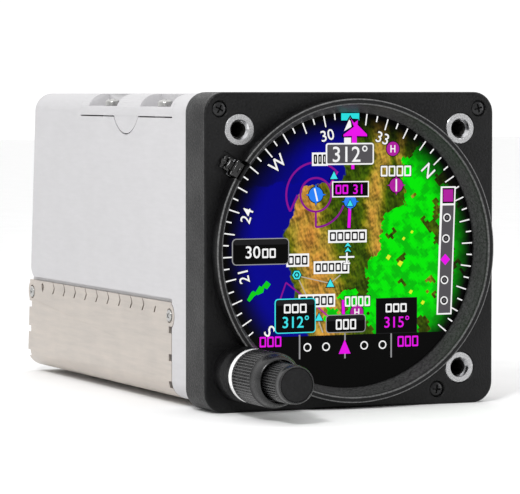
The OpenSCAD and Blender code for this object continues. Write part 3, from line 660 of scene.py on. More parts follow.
def moved(build: bmesh.types.BMesh, matrix: Matrix) -> bmesh.types.BMesh:
    """Moves a bmesh and gives it back."""
    bmesh.ops.transform(build, matrix=matrix, verts=build.verts)
    return build


def carved(
    build: bmesh.types.BMesh, cutters: Sequence[bmesh.types.BMesh], kind: str = "DIFFERENCE"
) -> bmesh.types.BMesh:
    """Cuts solids out of another, or joins or intersects them.

    Args:
        build: The solid that is kept, in millimetres.
        cutters: The solids that are taken away.
        kind: DIFFERENCE, UNION or INTERSECT.

    Returns:
        What is left.
    """
    objects = []
    for solid in (build, merged(cutters)):
        bmesh.ops.recalc_face_normals(solid, faces=solid.faces)
        mesh = bpy.data.meshes.new("carve")
        solid.to_mesh(mesh)
        solid.free()
        objects.append(bpy.data.objects.new("carve", mesh))
        bpy.context.scene.collection.objects.link(objects[-1])
    body, tool = objects
    modifier = body.modifiers.new("cut", "BOOLEAN")
    modifier.operation, modifier.object, modifier.solver = kind, tool, "EXACT"
    modifier.use_self = True
    result = bmesh.new()
    result.from_object(body, bpy.context.evaluated_depsgraph_get())
    for item in objects:
        mesh = item.data
        bpy.data.objects.remove(item)
        bpy.data.meshes.remove(mesh)
    bmesh.ops.remove_doubles(result, verts=result.verts, dist=1e-4)
    return result


def softened(build: bmesh.types.BMesh, width: float) -> bmesh.types.BMesh:
    """Rounds every sharp edge.

    Args:
        build: The solid.
        width: Width of the rounding.

    Returns:
        The same solid.
    """
    bmesh.ops.dissolve_limit(build, angle_limit=math.radians(0.6), verts=build.verts, edges=build.edges)
    sharp = [
        e
        for e in build.edges if len(e.link_faces) == 2 and e.calc_face_angle(0) > math.radians(SMOOTH_ANGLE)
    ]
    bmesh.ops.bevel(
        build, geom=sharp, offset=width, segments=2, profile=0.5, affect="EDGES", clamp_overlap=True)
    return build


def cad_copy(node: str) -> bmesh.types.BMesh:
    """Copies a CAD node's mesh, in millimetres, with its faces joined up.

    Args:
        node: The node.

    Returns:
        The copy.
    """
    build = bmesh.new()
    build.from_mesh(frame["nodes"][node].data)
    bmesh.ops.scale(build, vec=(1 / MM, 1 / MM, 1 / MM), verts=build.verts)
    bmesh.ops.remove_doubles(build, verts=build.verts, dist=1e-3)
    return build


def cad_box(node: str) -> tuple[Vector, Vector]:
    """Lowest and highest corner of a CAD node, in millimetres."""
    low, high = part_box(node)
    return low / MM, high / MM


class Workshop:
    """Places finished pieces in the scene."""

    def __init__(self, paints: Paintbox) -> None:
        """Keeps the finishes.

        Args:
            paints: The finishes by slot.
        """
        self.paints = paints
        self.count = 0

    def place(
        self, name: str, build: bmesh.types.BMesh, slot: str, body: Body = Body.INSTRUMENT,
        stands_for: Sequence[str] = (), material: bpy.types.Material | None = None,
        smooth: float = SMOOTH_ANGLE
    ) -> None:
        """Turns a solid into a piece that rides on its body.

        Args:
            name: The piece's name.
            build: The solid, in millimetres.
            slot: The record's slot it is finished from.
            body: The CAD body that it moves with.
            stands_for: CAD nodes that it replaces.
            material: A material of its own, instead of the slot's.
            smooth: Edges below this angle are shaded smooth.
        """
        mesh = mesh_from(build, name)
        mesh.materials.append(material or self.paints.materials[slot])
        mesh.shade_smooth()
        mesh.set_sharp_from_angle(angle=math.radians(smooth))
        piece = bpy.data.objects.new(name, mesh)
        bpy.context.scene.collection.objects.link(piece)
        weights = piece.modifiers.new("even normals", "WEIGHTED_NORMAL")
        weights.keep_sharp = True
        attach(piece, body.value)
        if stands_for:
            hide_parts(*stands_for)
        self.count += 1
        LOG.info("%s: %d faces on %s", name, len(mesh.polygons), body.value)

    def refine(self, node: str, width: float) -> None:
        """Replaces a CAD node with the same shape, its edges rounded."""
        self.place(
            f"{node}_piece", softened(cad_copy(node), width), self.paints.slot_of[node], stands_for=(node,))


# ---- Fasteners ----


@dataclass
class ScrewHead:
    """A pan head with a cross recess, drawn at the origin with its crown towards -Y.

    Attributes:
        radius: Radius of the head.
        height: Height of the head.
        shank: Radius of the shank.
        length: Length of the shank.
        arm: Length of each arm of the cross from the axis.
        slot: Width of each arm.
    """

    radius: float
    height: float
    shank: float
    length: float
    arm: float = 0.0
    slot: float = 0.0

    def build(self, turn: float = 0.0) -> bmesh.types.BMesh:
        """Makes the screw.

        Args:
            turn: Turn of the cross in degrees.

        Returns:
            The screw's solid, with the underside of its head at y 0.
        """
        r, h = self.radius, self.height
        side, dome = h * 0.55, h * 0.45
        turns = (math.radians(degrees) for degrees in range(0, 90, 12))
        crown = [(r * math.cos(a), -side - dome * math.sin(a)) for a in turns]
        tip = self.length
        profile = [
            (0, -h), *reversed(crown), (r, -0.12), (r - 0.1, 0), (self.shank, 0), (self.shank, tip - 0.4),
            (self.shank - 0.35, tip), (0, tip)]
        head = turned(profile, 40)
        arm, slot = self.arm or 0.62 * r, self.slot or 0.24 * r
        cutters = []
        for quarter in (0, 90):
            rings = [
                [
                    Vector((sx * (arm - taper), y, sz * (slot / 2 - taper * 0.12)))
                    for sx, sz in ((-1, -1), (1, -1), (1, 1), (-1, 1))]
                for y, taper in ((-h - 0.2, 0.0), (-h * 0.62, arm * 0.25), (-h * 0.25, arm * 0.62))]
            cutters.append(moved(loft(rings), Matrix.Rotation(math.radians(quarter + turn), 4, "Y")))
        return carved(head, cutters)


# ---- Front ----


@dataclass
class BezelFront:
    """The black front frame with its display ring, threaded inserts and screws.

    Attributes:
        edge: Radius of the frame's front edges.
        corner: Radius of the frame's corners.
        well: Radius of the hole that the display ring stands in.
        ring: Outer radius of the display ring.
        crest: Inner radius of the ring's flat top.
        window: Radius of the visible glass.
        proud: How far the ring stands in front of the face.
        pitch: Half the distance between the inserts.
        insert: Outer radius of an insert.
        bore: Radius of its thread.
        thread_pitch: Rise of the thread in one turn.
        insert_gap: Gap round an insert in the frame.
        recess: Radius of a screw's recess.
        seat: Y of the seat under a screw's head.
        highlight_y: Y at the middle of the painted highlight along the front edge.
        screws: X and Z of the face screws.
    """

    edge: float = 0.7
    corner: float = 5.5
    well: float = 39.0
    ring: float = 39.3
    crest: float = 37.9
    window: float = 35.65
    proud: float = 4.2
    pitch: float = 31.4325
    insert: float = 4.1
    bore: float = 2.0
    thread_pitch: float = 0.79
    insert_gap: float = 0.04
    recess: float = 2.15
    seat: float = 1.6
    highlight_y: float = 0.47
    screws: tuple[Point, ...] = ((-36.9, 36.7), (36.9, 36.7), (-22.5, -37.0), (24.9, -37.0))

    def frame_body(self, port: "ServicePort") -> bmesh.types.BMesh:
        """Makes the square frame with its holes.

        Args:
            port: The service port, whose pocket is cut here.

        Returns:
            The frame's solid.
        """
        low, high = cad_box("front_bezel")
        thick, rear = high.y, 0.4
        front_turns = [math.pi / 2 * k / 4 for k in range(5)]
        rear_turns = [math.pi / 2 * k / 2 for k in range(3)]
        insets = [(self.edge * (1 - math.sin(a)), self.edge * (1 - math.cos(a))) for a in front_turns]
        insets += [(rear * (1 - math.cos(a)), thick - rear * (1 - math.sin(a))) for a in rear_turns]
        rings = []
        for inset, y in insets:
            outline = box_outline(
                (low.x + inset, low.z + inset), (high.x - inset, high.z - inset), self.corner - inset, 10)
            rings.append([Vector((x, y, z)) for x, z in outline])
        cutters = [self.hole(self.well, thick + 1, 0.0, (0, 0), 192)]
        cutters += [
            self.hole(self.insert + self.insert_gap, thick + 1, 0.16, place, 72)
            for place in self.insert_places()]
        cutters += [self.hole(self.recess, self.seat, 0.15, place, 40) for place in self.screws]
        cutters += port.cutters()
        return carved(loft(rings), cutters)

    def insert_places(self) -> list[Point]:
        """Gives the X and Z of the three inserts."""
        return [(-self.pitch, self.pitch), (self.pitch, self.pitch), (self.pitch, -self.pitch)]

    @staticmethod
    def hole(radius: float, depth: float, chamfer: float, place: Point, steps: int) -> bmesh.types.BMesh:
        """Makes the cutter of a hole from the front, with a chamfered mouth."""
        profile = [
            (0, -1), (radius + chamfer, -1), (radius + chamfer, 0), (radius, chamfer + 0.001),
            (radius, depth), (0, depth)]
        return turned(profile, steps, place)

    def ring_body(self, port: "ServicePort") -> bmesh.types.BMesh:
        """Makes the raised ring, its inner bevel and the seats behind it.

        Args:
            port: The service port, whose notch is cut here.

        Returns:
            The ring's solid.
        """
        front, glass = -self.proud, 1.2
        profile = [
            (self.well + 0.1, 12.9), (self.well + 0.1, 0.5), (self.ring, 0.5), (self.ring, front),
            (self.crest, front), (self.window + 0.12, 0.72), (self.window, glass), (37.4, glass + 0.001),
            (37.4, 9.7), (38.75, 9.7), (38.75, 12.9)]
        return carved(turned(rounded(profile, 0.28), 288), port.cutters())

    def insert_body(self, place: Point) -> bmesh.types.BMesh:
        """Makes an insert with a polished mouth and a screw thread.

        Args:
            place: X and Z of its axis.

        Returns:
            The insert's solid.
        """
        mouth, chamfer, length, groove = self.bore + 0.62, 0.9, 10.0, 0.26
        outer = self.insert - 0.02
        rows = [chamfer + (length - 0.3 - chamfer) * k / 84 for k in range(85)]

        def reach(angle: float, radius: float, y: float) -> float:
            """Cuts the thread's groove into the bore.

            Args:
                angle: Angle round the axis.
                radius: Radius before the cut.
                y: Depth behind the face.

            Returns:
                The radius after it.
            """
            if radius > self.bore + 0.01:
                return radius
            turn = (y / self.thread_pitch - angle / (2 * math.pi)) % 1
            fade = min(1.0, (y - chamfer) / 0.3, (length - 0.3 - y) / 0.3)
            return radius + groove * max(0.0, fade) * (1 - abs(2 * turn - 1))

        rim = [(outer - 0.18, 0.0), (mouth + 0.05, 0.0), (mouth, 0.06)]
        profile = [
            *rim, *((self.bore, y) for y in rows), (self.bore + 0.3, length), (outer - 0.2, length),
            (outer, length - 0.2), (outer, 0.18)]
        return turned(profile, 72, place, reach)

    def rim_painted_highlight(self, graph: Graph) -> bpy.types.NodeSocket:
        """Gives where a painted highlight lightens the ring: along both edges of its crest, and lightly on
        its inner bevel.

        Args:
            graph: The material's nodes.

        Returns:
            The share of painted highlight, from 0 to 1.
        """
        x, y, z = graph.coordinates()
        radius = graph.radius(x, z)
        outer = graph.step(graph.apart(radius, self.ring - 0.1), 0.3, 0.08)
        inner = graph.step(graph.apart(radius, self.crest), 0.32, 0.1, 0.0, 0.8)
        crest = graph.times(
            graph.math("MAXIMUM", outer, inner), graph.step(y, 0.6 - self.proud, 0.2 - self.proud))
        bevel = graph.times(
            graph.step(radius, self.crest - 0.1, self.crest - 0.5), graph.step(y, 1.0, 0.2, 0.0, 0.3))
        return graph.math("MAXIMUM", crest, bevel)

    def frame_painted_highlight(self, graph: Graph) -> bpy.types.NodeSocket:
        """Gives where a painted highlight lightens the frame: along its rounded front edges."""
        y = graph.coordinates()[1]
        return graph.step(graph.apart(y, self.highlight_y), 0.15, 0.04, 0.0, 0.5)

    def insert_paint(self) -> bpy.types.Material:
        """Makes the inserts' steel: turned bright face and mouth, and painted shade that darkens the thread
        deeper in the bore.

        Returns:
            The material.
        """
        graph = Graph("turned_steel_painted_bore_shade")
        y = graph.coordinates()[1]
        # Painted shade: from 0.9 mm behind the face the bore's colour darkens to a dark grey, standing in
        # for the shade inside the hole.
        deep = graph.step(y, 0.9, 1.5)
        mouth = graph.times(graph.step(y, 0.02, 0.12), graph.minus(1.0, deep))
        fine = graph.noise(graph.place((1, 4, 1)), 4.5)
        bright = graph.ramp(fine, ((0.38, srgb(150, 150, 152)), (0.62, srgb(212, 212, 213))))
        polished = graph.mix(mouth, bright, srgb(214, 214, 216))
        graph.set(Base_Color=graph.mix(deep, polished, srgb(74, 73, 72)), Metallic=1.0)
        graph.set(Roughness=graph.mix(mouth, graph.step(fine, 0.3, 0.7, 0.3, 0.5), (0.12, 0.12, 0.12)))
        graph.bump(fine, 0.01)
        return graph.material

    def build(self, shop: Workshop, port: "ServicePort") -> None:
        """Places the frame, ring, inserts and screws.

        Args:
            shop: Places the pieces.
            port: The service port that is cut into them.
        """
        steel = self.insert_paint()
        black = shop.paints.finishes["bezel_black"]
        # The frame and the ring get painted highlights: lighter colour along the frame's front edges, the
        # ring's crest edges and its inner bevel.
        frame_with_highlight, ring_with_highlight = black.build(self.frame_painted_highlight), black.build(self.rim_painted_highlight)
        shop.place(
            "bezel_frame", self.frame_body(port), "bezel_black", stands_for=("front_bezel",),
            material=frame_with_highlight)
        shop.place("display_ring", self.ring_body(port), "bezel_black", material=ring_with_highlight)
        for name, place in zip(("top_left", "top_right", "bottom_right"), self.insert_places()):
            shop.place(
                f"thread_insert_{name}", self.insert_body(place), "insert_steel",
                stands_for=(f"insert_{name}",), material=steel)
        screw = ScrewHead(radius=2.0, height=1.45, shank=1.08, length=14.4, arm=1.3, slot=0.5)
        turns = (28, -14, 52, 8)
        heads = [moved(screw.build(turn), Matrix.Translation((x, self.seat, z)))
                 for (x, z), turn in zip(self.screws, turns)]
        shop.place("face_screw_set", merged(heads), "black_screw", stands_for=("bezel_screws",))


@dataclass
class ServicePort:
    """The socket in the ring's side under a small rubber cover.

    Attributes:
        angle: Where it stands round the display, in degrees.
        hinge: Radius of the cover's hinge from the display's centre.
        hinge_y: Y of the hinge's axis.
        button: Radius of the anchor's button.
        width: Width of the notch in the ring.
        inner: Radius at which the notch starts.
    """

    angle: float = 147.0
    hinge: float = 41.5
    hinge_y: float = -0.9
    button: float = 43.0
    width: float = 5.2
    inner: float = 37.6

    def frame(self) -> Matrix:
        """Turns the port's own frame, with X outward, into the CAD frame."""
        return Matrix.Rotation(math.radians(-self.angle), 4, "Y")

    def block(
        self, low: Sequence[float], high: Sequence[float], edge: float = 0.0, steps: int = 3
    ) -> bmesh.types.BMesh:
        """Makes a block in the port's frame, with rounded edges if edge is given.

        Args:
            low: Lowest corner.
            high: Highest corner.
            edge: Radius of the edges.
            steps: Faces across each rounded edge.

        Returns:
            The block.
        """
        build = bmesh.new()
        bmesh.ops.create_cube(build, size=1)
        centre = (Vector(low) + Vector(high)) / 2
        size = Vector(high) - Vector(low)
        bmesh.ops.transform(
            build, matrix=Matrix.Translation(centre) @ Matrix.Diagonal((*size, 1)), verts=build.verts)
        if edge:
            bmesh.ops.bevel(
                build, geom=build.edges, offset=edge, segments=steps, profile=0.5, affect="EDGES")
        return moved(build, self.frame())

    def cutters(self) -> list[bmesh.types.BMesh]:
        """Makes the solids of the notch, its pocket and the socket's hole."""
        half = self.width / 2
        return [self.block((self.inner, -6, -half), (self.button + 1.2, 0.3, half)),
                self.block((38.05, -0.5, -2.25), (40.55, 5.05, 2.25))]

    def rod(self, radius: float, low: float, high: float, place: Point) -> bmesh.types.BMesh:
        """Makes a rod in the port's frame, along its Z axis.

        Args:
            radius: Its radius.
            low: Where it starts along Z.
            high: Where it ends.
            place: X and Y of its axis.

        Returns:
            The rod.
        """
        stick = turned(rounded([(0, low), (radius, low), (radius, high), (0, high)], 0.08), 28)
        stand = Matrix.Translation((place[0], place[1], 0)) @ Matrix.Rotation(math.radians(90), 4, "X")
        return moved(moved(stick, stand), self.frame())

    def build(self, shop: Workshop) -> None:
        """Places the cover and the anchor that it hangs on.

        Args:
            shop: Places the pieces.
        """
        flap_low, flap_high = 37.9, self.hinge - 1
        cover = [
            self.block((flap_low, -2.2, -2.25), (flap_high, -0.3, 2.25), 0.42, 4),
            self.block((flap_low + 0.65, -2.6, -0.8), (flap_low + 1.15, -2.0, 0.8), 0.2),
            self.block((flap_low + 2.0, -2.6, -1.5), (flap_low + 2.5, -2.0, 1.5), 0.2),
            self.block(
                (flap_high - 0.3, self.hinge_y - 0.4, -1.0), (flap_high + 0.95, self.hinge_y + 0.4, 1.0),
                0.15),
            self.rod(0.6, -1.0, 1.0, (self.hinge, self.hinge_y))]
        shop.place("port_flap", merged(cover), "port_rubber", Body.PORT_COVER, ("port_cover",))
        anchor = [self.block((self.hinge + 0.9, -0.5, -1.7), (self.hinge + 1.8, 0.3, 1.7), 0.15),
                  self.rod(0.3, -1.1, 1.1, (self.hinge, self.hinge_y))]
        anchor += [
            self.block((self.hinge - 0.5, self.hinge_y - 0.5, z), (self.hinge + 1.0, 0.3, z + 0.6), 0.12)
            for z in (-1.7, 1.1)]

        def ribbed(angle: float, radius: float, y: float) -> float:
            """Ribs the side of the button."""
            return radius - 0.07 * (0.5 - 0.5 * math.cos(12 * angle)) if radius > 0.6 else radius

        button = turned(
            [(0, -0.72), (0.3, -0.8), (0.66, -0.78), (0.8, -0.62), (0.8, 0.1), (0.74, 2.3), (0, 2.3)], 72,
            (self.button, 0), ribbed)
        anchor.append(moved(button, self.frame()))
        shop.place("port_anchor", merged(anchor), "port_rubber", stands_for=("port_cover_anchor",))
        shop.refine("service_socket", 0.06)


@dataclass
class KnobStack:
    """The two concentric knobs in front of their boss.

    Attributes:
        axis: X and Z of the knobs' axis.
        outer: Radius of the outer knob.
        inner: Radius of the inner knob.
        outer_ribs: Ribs round the outer knob.
        inner_ribs: Ribs round the inner knob.
        rib: Depth of the grooves between ribs.
    """

    axis: Point = (-31.4325, -30.8)
    outer: float = 7.0
    inner: float = 4.95
    outer_ribs: int = 52
    inner_ribs: int = 44
    rib: float = 0.42

    def ribs(
        self, count: int, radius: float, start: float, end: float
    ) -> Callable[[float, float, float], float]:
        """Gives the function that presses grooves into the side between two planes.

        Args:
            count: Number of ribs.
            radius: Radius of the side.
            start: Y at which the grooves start.
            end: Y at which they end, nearer the pilot.

        Returns:
            The radius at an angle, radius and y.
        """

        def reach(angle: float, at: float, y: float) -> float:
            """Lowers the radius between ribs.

            Args:
                angle: Angle round the axis.
                at: Radius before the cut.
                y: Place along the axis.

            Returns:
                The radius after it.
            """
            if at < radius - 0.02 or not end <= y <= start:
                return at
            fade = min(1.0, (start - y) / 0.3, (y - end) / 0.45)
            return at - self.rib * max(0.0, fade) * (0.5 - 0.5 * math.cos(count * angle)) ** 1.4

        return reach

    def boss(self) -> bmesh.types.BMesh:
        """Makes the fixed boss behind the knobs, cut back where the display ring's opening meets it."""
        profile = [(7.15, 1), (7.15, -4.2), (6.6, -5.7), (6.6, -8.7), (4.55, -8.7), (4.55, 1)]
        opening = [(0, -10), (37.88, -10), (37.88, -4.19), (35.78, 0.72), (0, 0.72)]
        return carved(turned(rounded(profile, 0.28), 128, self.axis), [turned(opening, 288)])

    def outer_knob(self) -> bmesh.types.BMesh:
        """Makes the outer knob: ribbed side, dished shoulder and the well of the inner knob."""
        r = self.outer
        side = [
            (r - 0.14, -11.0), (r, -11.14), (r, -11.2), (r, -11.35), (r, -11.5), (r, -22.0), (r, -22.25),
            (r, -22.45), (r, -22.5), (r - 0.12, -22.62)]
        shoulder = [
            (6.72, -22.95), (6.6, -23.6), (6.46, -24.3), (6.3, -24.9), (6.08, -25.4), (5.84, -25.78),
            (5.62, -25.96), (5.5, -26.0), (5.41, -25.92)]
        inside = [
            (5.38, -25.7), (5.38, -23.2), (5.2, -23.0), (2.05, -23.0), (2.05, -22.02), (3.04, -22.02),
            (3.04, -11.2), (5.9, -11.2), (5.9, -11.0)]
        return turned(
            side + shoulder + inside, self.outer_ribs * 10, self.axis,
            self.ribs(self.outer_ribs, r, -11.2, -22.5))

    def inner_knob(self) -> bmesh.types.BMesh:
        """Makes the inner knob: ribbed side, smooth collar and a rim round the cap."""
        r = self.inner
        rear = cad_box("inner_knob")[1].y
        side = [
            (r - 0.16, rear), (r, rear - 0.16), (r, -24.5), (r, -24.8), (r, -33.2), (r, -33.5), (r, -33.62),
            (r - 0.1, -33.78)]
        collar = [
            (r - 0.16, -34.0), (r - 0.14, -34.9), (r - 0.16, -35.5), (r - 0.24, -35.8), (4.56, -36.0),
            (4.4, -36.0), (4.32, -35.92)]
        inside = [(4.32, -35.5), (1.72, -35.5), (1.72, rear)]
        return turned(
            side + collar + inside, self.inner_ribs * 10, self.axis,
            self.ribs(self.inner_ribs, r, -24.4, -33.62))

    def build(self, shop: Workshop) -> None:
        """Places the boss, the knobs, the band and the cap.

        Args:
            shop: Places the pieces.
        """
        shop.place("knob_boss", self.boss(), "bezel_black")
        shop.place("outer_knob_piece", self.outer_knob(), "knob_black", Body.OUTER_KNOB, ("outer_knob",))
        band = rounded([(6.95, -9.0), (6.95, -10.97), (6.35, -10.97), (6.35, -9.0)], 0.14)
        shop.place(
            "white_band", turned(band, 160, self.axis), "knob_band", Body.OUTER_KNOB, ("outer_knob_ring",))
        shop.place("inner_knob_piece", self.inner_knob(), "knob_black", Body.INNER_KNOB, ("inner_knob",))
        face = [
            (0, -35.86), (2.2, -35.87), (3.6, -35.9), (4.12, -35.88), (4.28, -35.74), (4.28, -35.5),
            (0, -35.5)]
        shop.place(
            "matte_cap", turned(face, 96, self.axis), "cap_black", Body.INNER_KNOB, ("inner_knob_cap",))


# ---- Picture on the display ----


class Ink(Enum):
    """Lit colours of the picture's marks."""

    WHITE = (250, 250, 250)
    MAGENTA = (236, 20, 236)
    CYAN = (66, 232, 238)
    BUG = (44, 226, 226)
    BLUE = (44, 132, 250)
    PURPLE = (138, 18, 142)
    PLUM = (176, 34, 160)
    BLACK = (3, 3, 3)
    CHARCOAL = (30, 30, 32)
    GREY = (86, 84, 88)
    SILVER = (150, 150, 152)
    LINE = (186, 176, 160)
    GREEN = (12, 206, 24)
    YELLOW = (226, 240, 40)

    def paint(self) -> bpy.types.Material:
        """Makes the ink's lit material, with a slight unevenness of the backlight."""
        graph = Graph(f"ink_{self.name.lower()}")
        full = srgb(*self.value)
        even = graph.noise(graph.place(), 0.35, 2)
        lit = graph.ramp(even, ((0.3, tuple(c * 0.94 for c in full)), (0.7, full)))
        graph.set(Base_Color=UNLIT, Roughness=0.2, Specular_IOR_Level=0.03)
        graph.set(Emission_Color=lit, Emission_Strength=1.0)
        return graph.material


@dataclass
class Picture:
    """The lit picture: a map in the glass and marks that lie on it in thin layers.

    Attributes:
        glass_y: Front face of the glass.
        layer: Thickness of one layer of marks.
        heading: Heading at the top of the rose, in degrees.
        sheets: Solids drawn so far for each ink.
    """

    glass_y: float = 1.2
    layer: float = 0.015
    heading: float = 312.0
    sheets: dict[Ink, list[bmesh.types.BMesh]] = field(default_factory=dict)

    def span(self, level: int) -> tuple[float, float]:
        """Gives the front and back of a layer along Y."""
        return self.glass_y - self.layer * (level + 1), self.glass_y - self.layer * 0.2

    def shape(self, ink: Ink, level: int, outline: Sequence[Point], *holes: Sequence[Point]) -> None:
        """Draws a filled shape.

        Args:
            ink: Its colour.
            level: Its layer, with higher layers in front.
            outline: Its outline as X and Z.
            holes: Outlines of holes in it.
        """
        low, high = self.span(level)
        self.sheets.setdefault(ink, []).append(plate([outline, *holes], low, high))

    def bar(self, ink: Ink, level: int, start: Point, end: Point, width: float) -> None:
        """Draws a straight line of a width.

        Args:
            ink: Its colour.
            level: Its layer.
            start: Where it starts.
            end: Where it ends.
            width: Its width.
        """
        a, b = Vector(start), Vector(end)
        side = (b - a).normalized().orthogonal() * width / 2
        self.shape(ink, level, [tuple(p) for p in (a + side, b + side, b - side, a - side)])

    def outlined_bar(self, ink: Ink, level: int, start: Point, end: Point, width: float) -> None:
        """Draws a line with a thin black edge.

        Args:
            ink: Its colour.
            level: Its layer; the edge lies one below.
            start: Where it starts.
            end: Where it ends.
            width: Its width.
        """
        a, b = Vector(start), Vector(end)
        more = (b - a).normalized() * 0.12
        self.bar(Ink.BLACK, level - 1, tuple(a - more), tuple(b + more), width + 0.26)
        self.bar(ink, level, start, end, width)

    def panel(
        self, fill: Ink, line: Ink, level: int, low: Point, high: Point, corner: float, border: float
    ) -> None:
        """Draws a filled panel inside a border.

        Args:
            fill: Colour inside.
            line: Colour of the border.
            level: The border's layer.
            low: Lowest corner.
            high: Highest corner.
            corner: Radius of the corners.
            border: Width of the border.
        """
        self.shape(line, level, box_outline(low, high, corner, 5))
        inner = max(0.0, corner - border)
        self.shape(
            fill, level + 1,
            box_outline((low[0] + border, low[1] + border), (high[0] - border, high[1] - border), inner, 5))

    def ring(self, ink: Ink, level: int, centre: Point, radius: float, width: float) -> None:
        """Draws a circle of a line width."""
        self.shape(ink, level, disc(centre, radius + width / 2, 40), disc(centre, radius - width / 2, 40))

    def stroke(self, ink: Ink, level: int, points: Sequence[Point], width: float) -> None:
        """Draws an open line through points."""
        for a, b in zip(points, points[1:]):
            self.bar(ink, level, a, b, width)

    def digits(
        self, ink: Ink, level: int, text: str, centre: Point, cap: float, turn: float = 0.0,
        halo: float = 0.0, stretch: float = 1.0
    ) -> None:
        """Draws numbers, compass letters or a degree sign.

        Args:
            ink: Their colour.
            level: Their layer.
            text: What to draw.
            centre: Centre of the text.
            cap: Height of the figures.
            turn: Clockwise turn in degrees.
            halo: Width of a black edge, drawn one layer below.
            stretch: Share of the normal width.
        """
        for colour, at, grow in ((Ink.BLACK, level - 1, halo), (ink, level, 0.03)):
            if colour is Ink.BLACK and not halo:
                continue
            low, high = self.span(at)
            curve = bpy.data.curves.new("figures", "FONT")
            curve.body, curve.size, curve.resolution_u = text, cap / 0.72, 3
            curve.align_x, curve.align_y = "CENTER", "CENTER"
            curve.offset, curve.extrude = grow, (high - low) / 2
            build = curve_solid(curve)
            zs = [v.co.y for v in build.verts]
            xs = [v.co.x for v in build.verts]
            centring = Matrix.Translation((-(min(xs) + max(xs)) / 2, -(min(zs) + max(zs)) / 2, 0))
            stand = Matrix.Translation((centre[0], (low + high) / 2, centre[1])) @ Facing.FRONT.value
            moved(
                build,
                stand @ Matrix.Rotation(
                    math.radians(-turn), 4, "Z") @ Matrix.Diagonal((stretch, 1, 1, 1)) @ centring)
            self.sheets.setdefault(colour, []).append(build)

    def label(self, level: int, low: Point, high: Point, blocks: int) -> None:
        """Draws a white label with plain black blocks where a name would be."""
        self.shape(Ink.WHITE, level, box_outline(low, high))
        self.blocks(
            Ink.BLACK, level + 1, (low[0] + 0.3, low[1] + 0.5), (high[0] - 0.3, high[1] - 0.5), blocks)

    def blocks(self, ink: Ink, level: int, low: Point, high: Point, count: int) -> None:
        """Draws plain blocks in a row where a word would be.

        Args:
            ink: Their colour.
            level: Their layer.
            low: Lowest corner of the row.
            high: Highest corner of the row.
            count: Number of blocks.
        """
        width = (high[0] - low[0]) / count
        for i in range(count):
            x = low[0] + i * width
            self.shape(ink, level, box_outline((x + 0.16, low[1]), (x + width - 0.16, high[1]), 0.25, 3),
                       box_outline((x + 0.55, low[1] + 0.45), (x + width - 0.55, high[1] - 0.45), 0.12, 2))

    def on_rose(self, radius: float, bearing: float) -> Point:
        """Gives X and Z at a radius and a bearing of the rose."""
        a = math.radians(bearing - self.heading)
        return radius * math.sin(a), radius * math.cos(a)

    def rose(self) -> None:
        """Draws the ticks and figures of the compass rose."""
        for bearing in range(0, 360, 5):
            off = (bearing - self.heading + 180) % 360 - 180
            if abs(off) > 128 or abs(off) < 5:
                continue
            inner = 32.65 if bearing % 10 == 0 else 34.05
            self.outlined_bar(Ink.WHITE, 2, self.on_rose(inner, bearing), self.on_rose(35.6, bearing), 0.34)
        for text, bearing in (
            ("30", 300), ("33", 330), ("W", 270), ("N", 360), ("24", 240), ("21", 210), ("S", 180)
        ):
            cap = 3.3 if text.isalpha() else 2.9
            self.digits(Ink.WHITE, 4, text, self.on_rose(30.5, bearing), cap, bearing - self.heading, 0.16)

    def heading_marks(self) -> None:
        """Draws the bug, the pointers and the heading panel at the top."""
        self.shape(
            Ink.BUG, 4,
            [
                (-2.4, 35.5), (-2.4, 33.65), (-0.75, 33.65), (0.14, 35.1), (1.05, 33.65), (2.7, 33.65),
                (2.7, 35.5)])
        self.shape(Ink.WHITE, 4, [(0.09, 34.4), (-1.6, 30.9), (0.5, 32.0)])
        self.shape(Ink.WHITE, 4, box_outline((-1.55, 27.4), (0.35, 29.4)))
        self.shape(
            Ink.BLACK, 5,
            [
                (1.0, 32.4), (-2.2, 29.9), (-2.2, 29.2), (5.3, 29.2), (5.3, 29.9), (2.2, 32.9), (2.6, 34.0),
                (-0.4, 34.2)])
        self.shape(
            Ink.MAGENTA, 6,
            [
                (0.25, 34.1), (1.2, 32.0), (-1.8, 30.0), (-1.8, 29.5), (0.6, 29.6), (0.6, 27.4),
                (2.0, 27.4), (2.0, 29.6), (4.95, 29.5), (4.95, 30.0), (2.2, 32.5), (2.3, 33.7), (1.25, 33.0)
            ])
        self.panel(Ink.GREY, Ink.WHITE, 8, (-6.8, 22.15), (6.9, 27.8), 0.7, 0.38)
        self.digits(Ink.WHITE, 10, "312°", (0.1, 24.98), 4.1, stretch=0.98)
        self.label(3, (-10.7, 21.95), (-6.2, 25.4), 3)

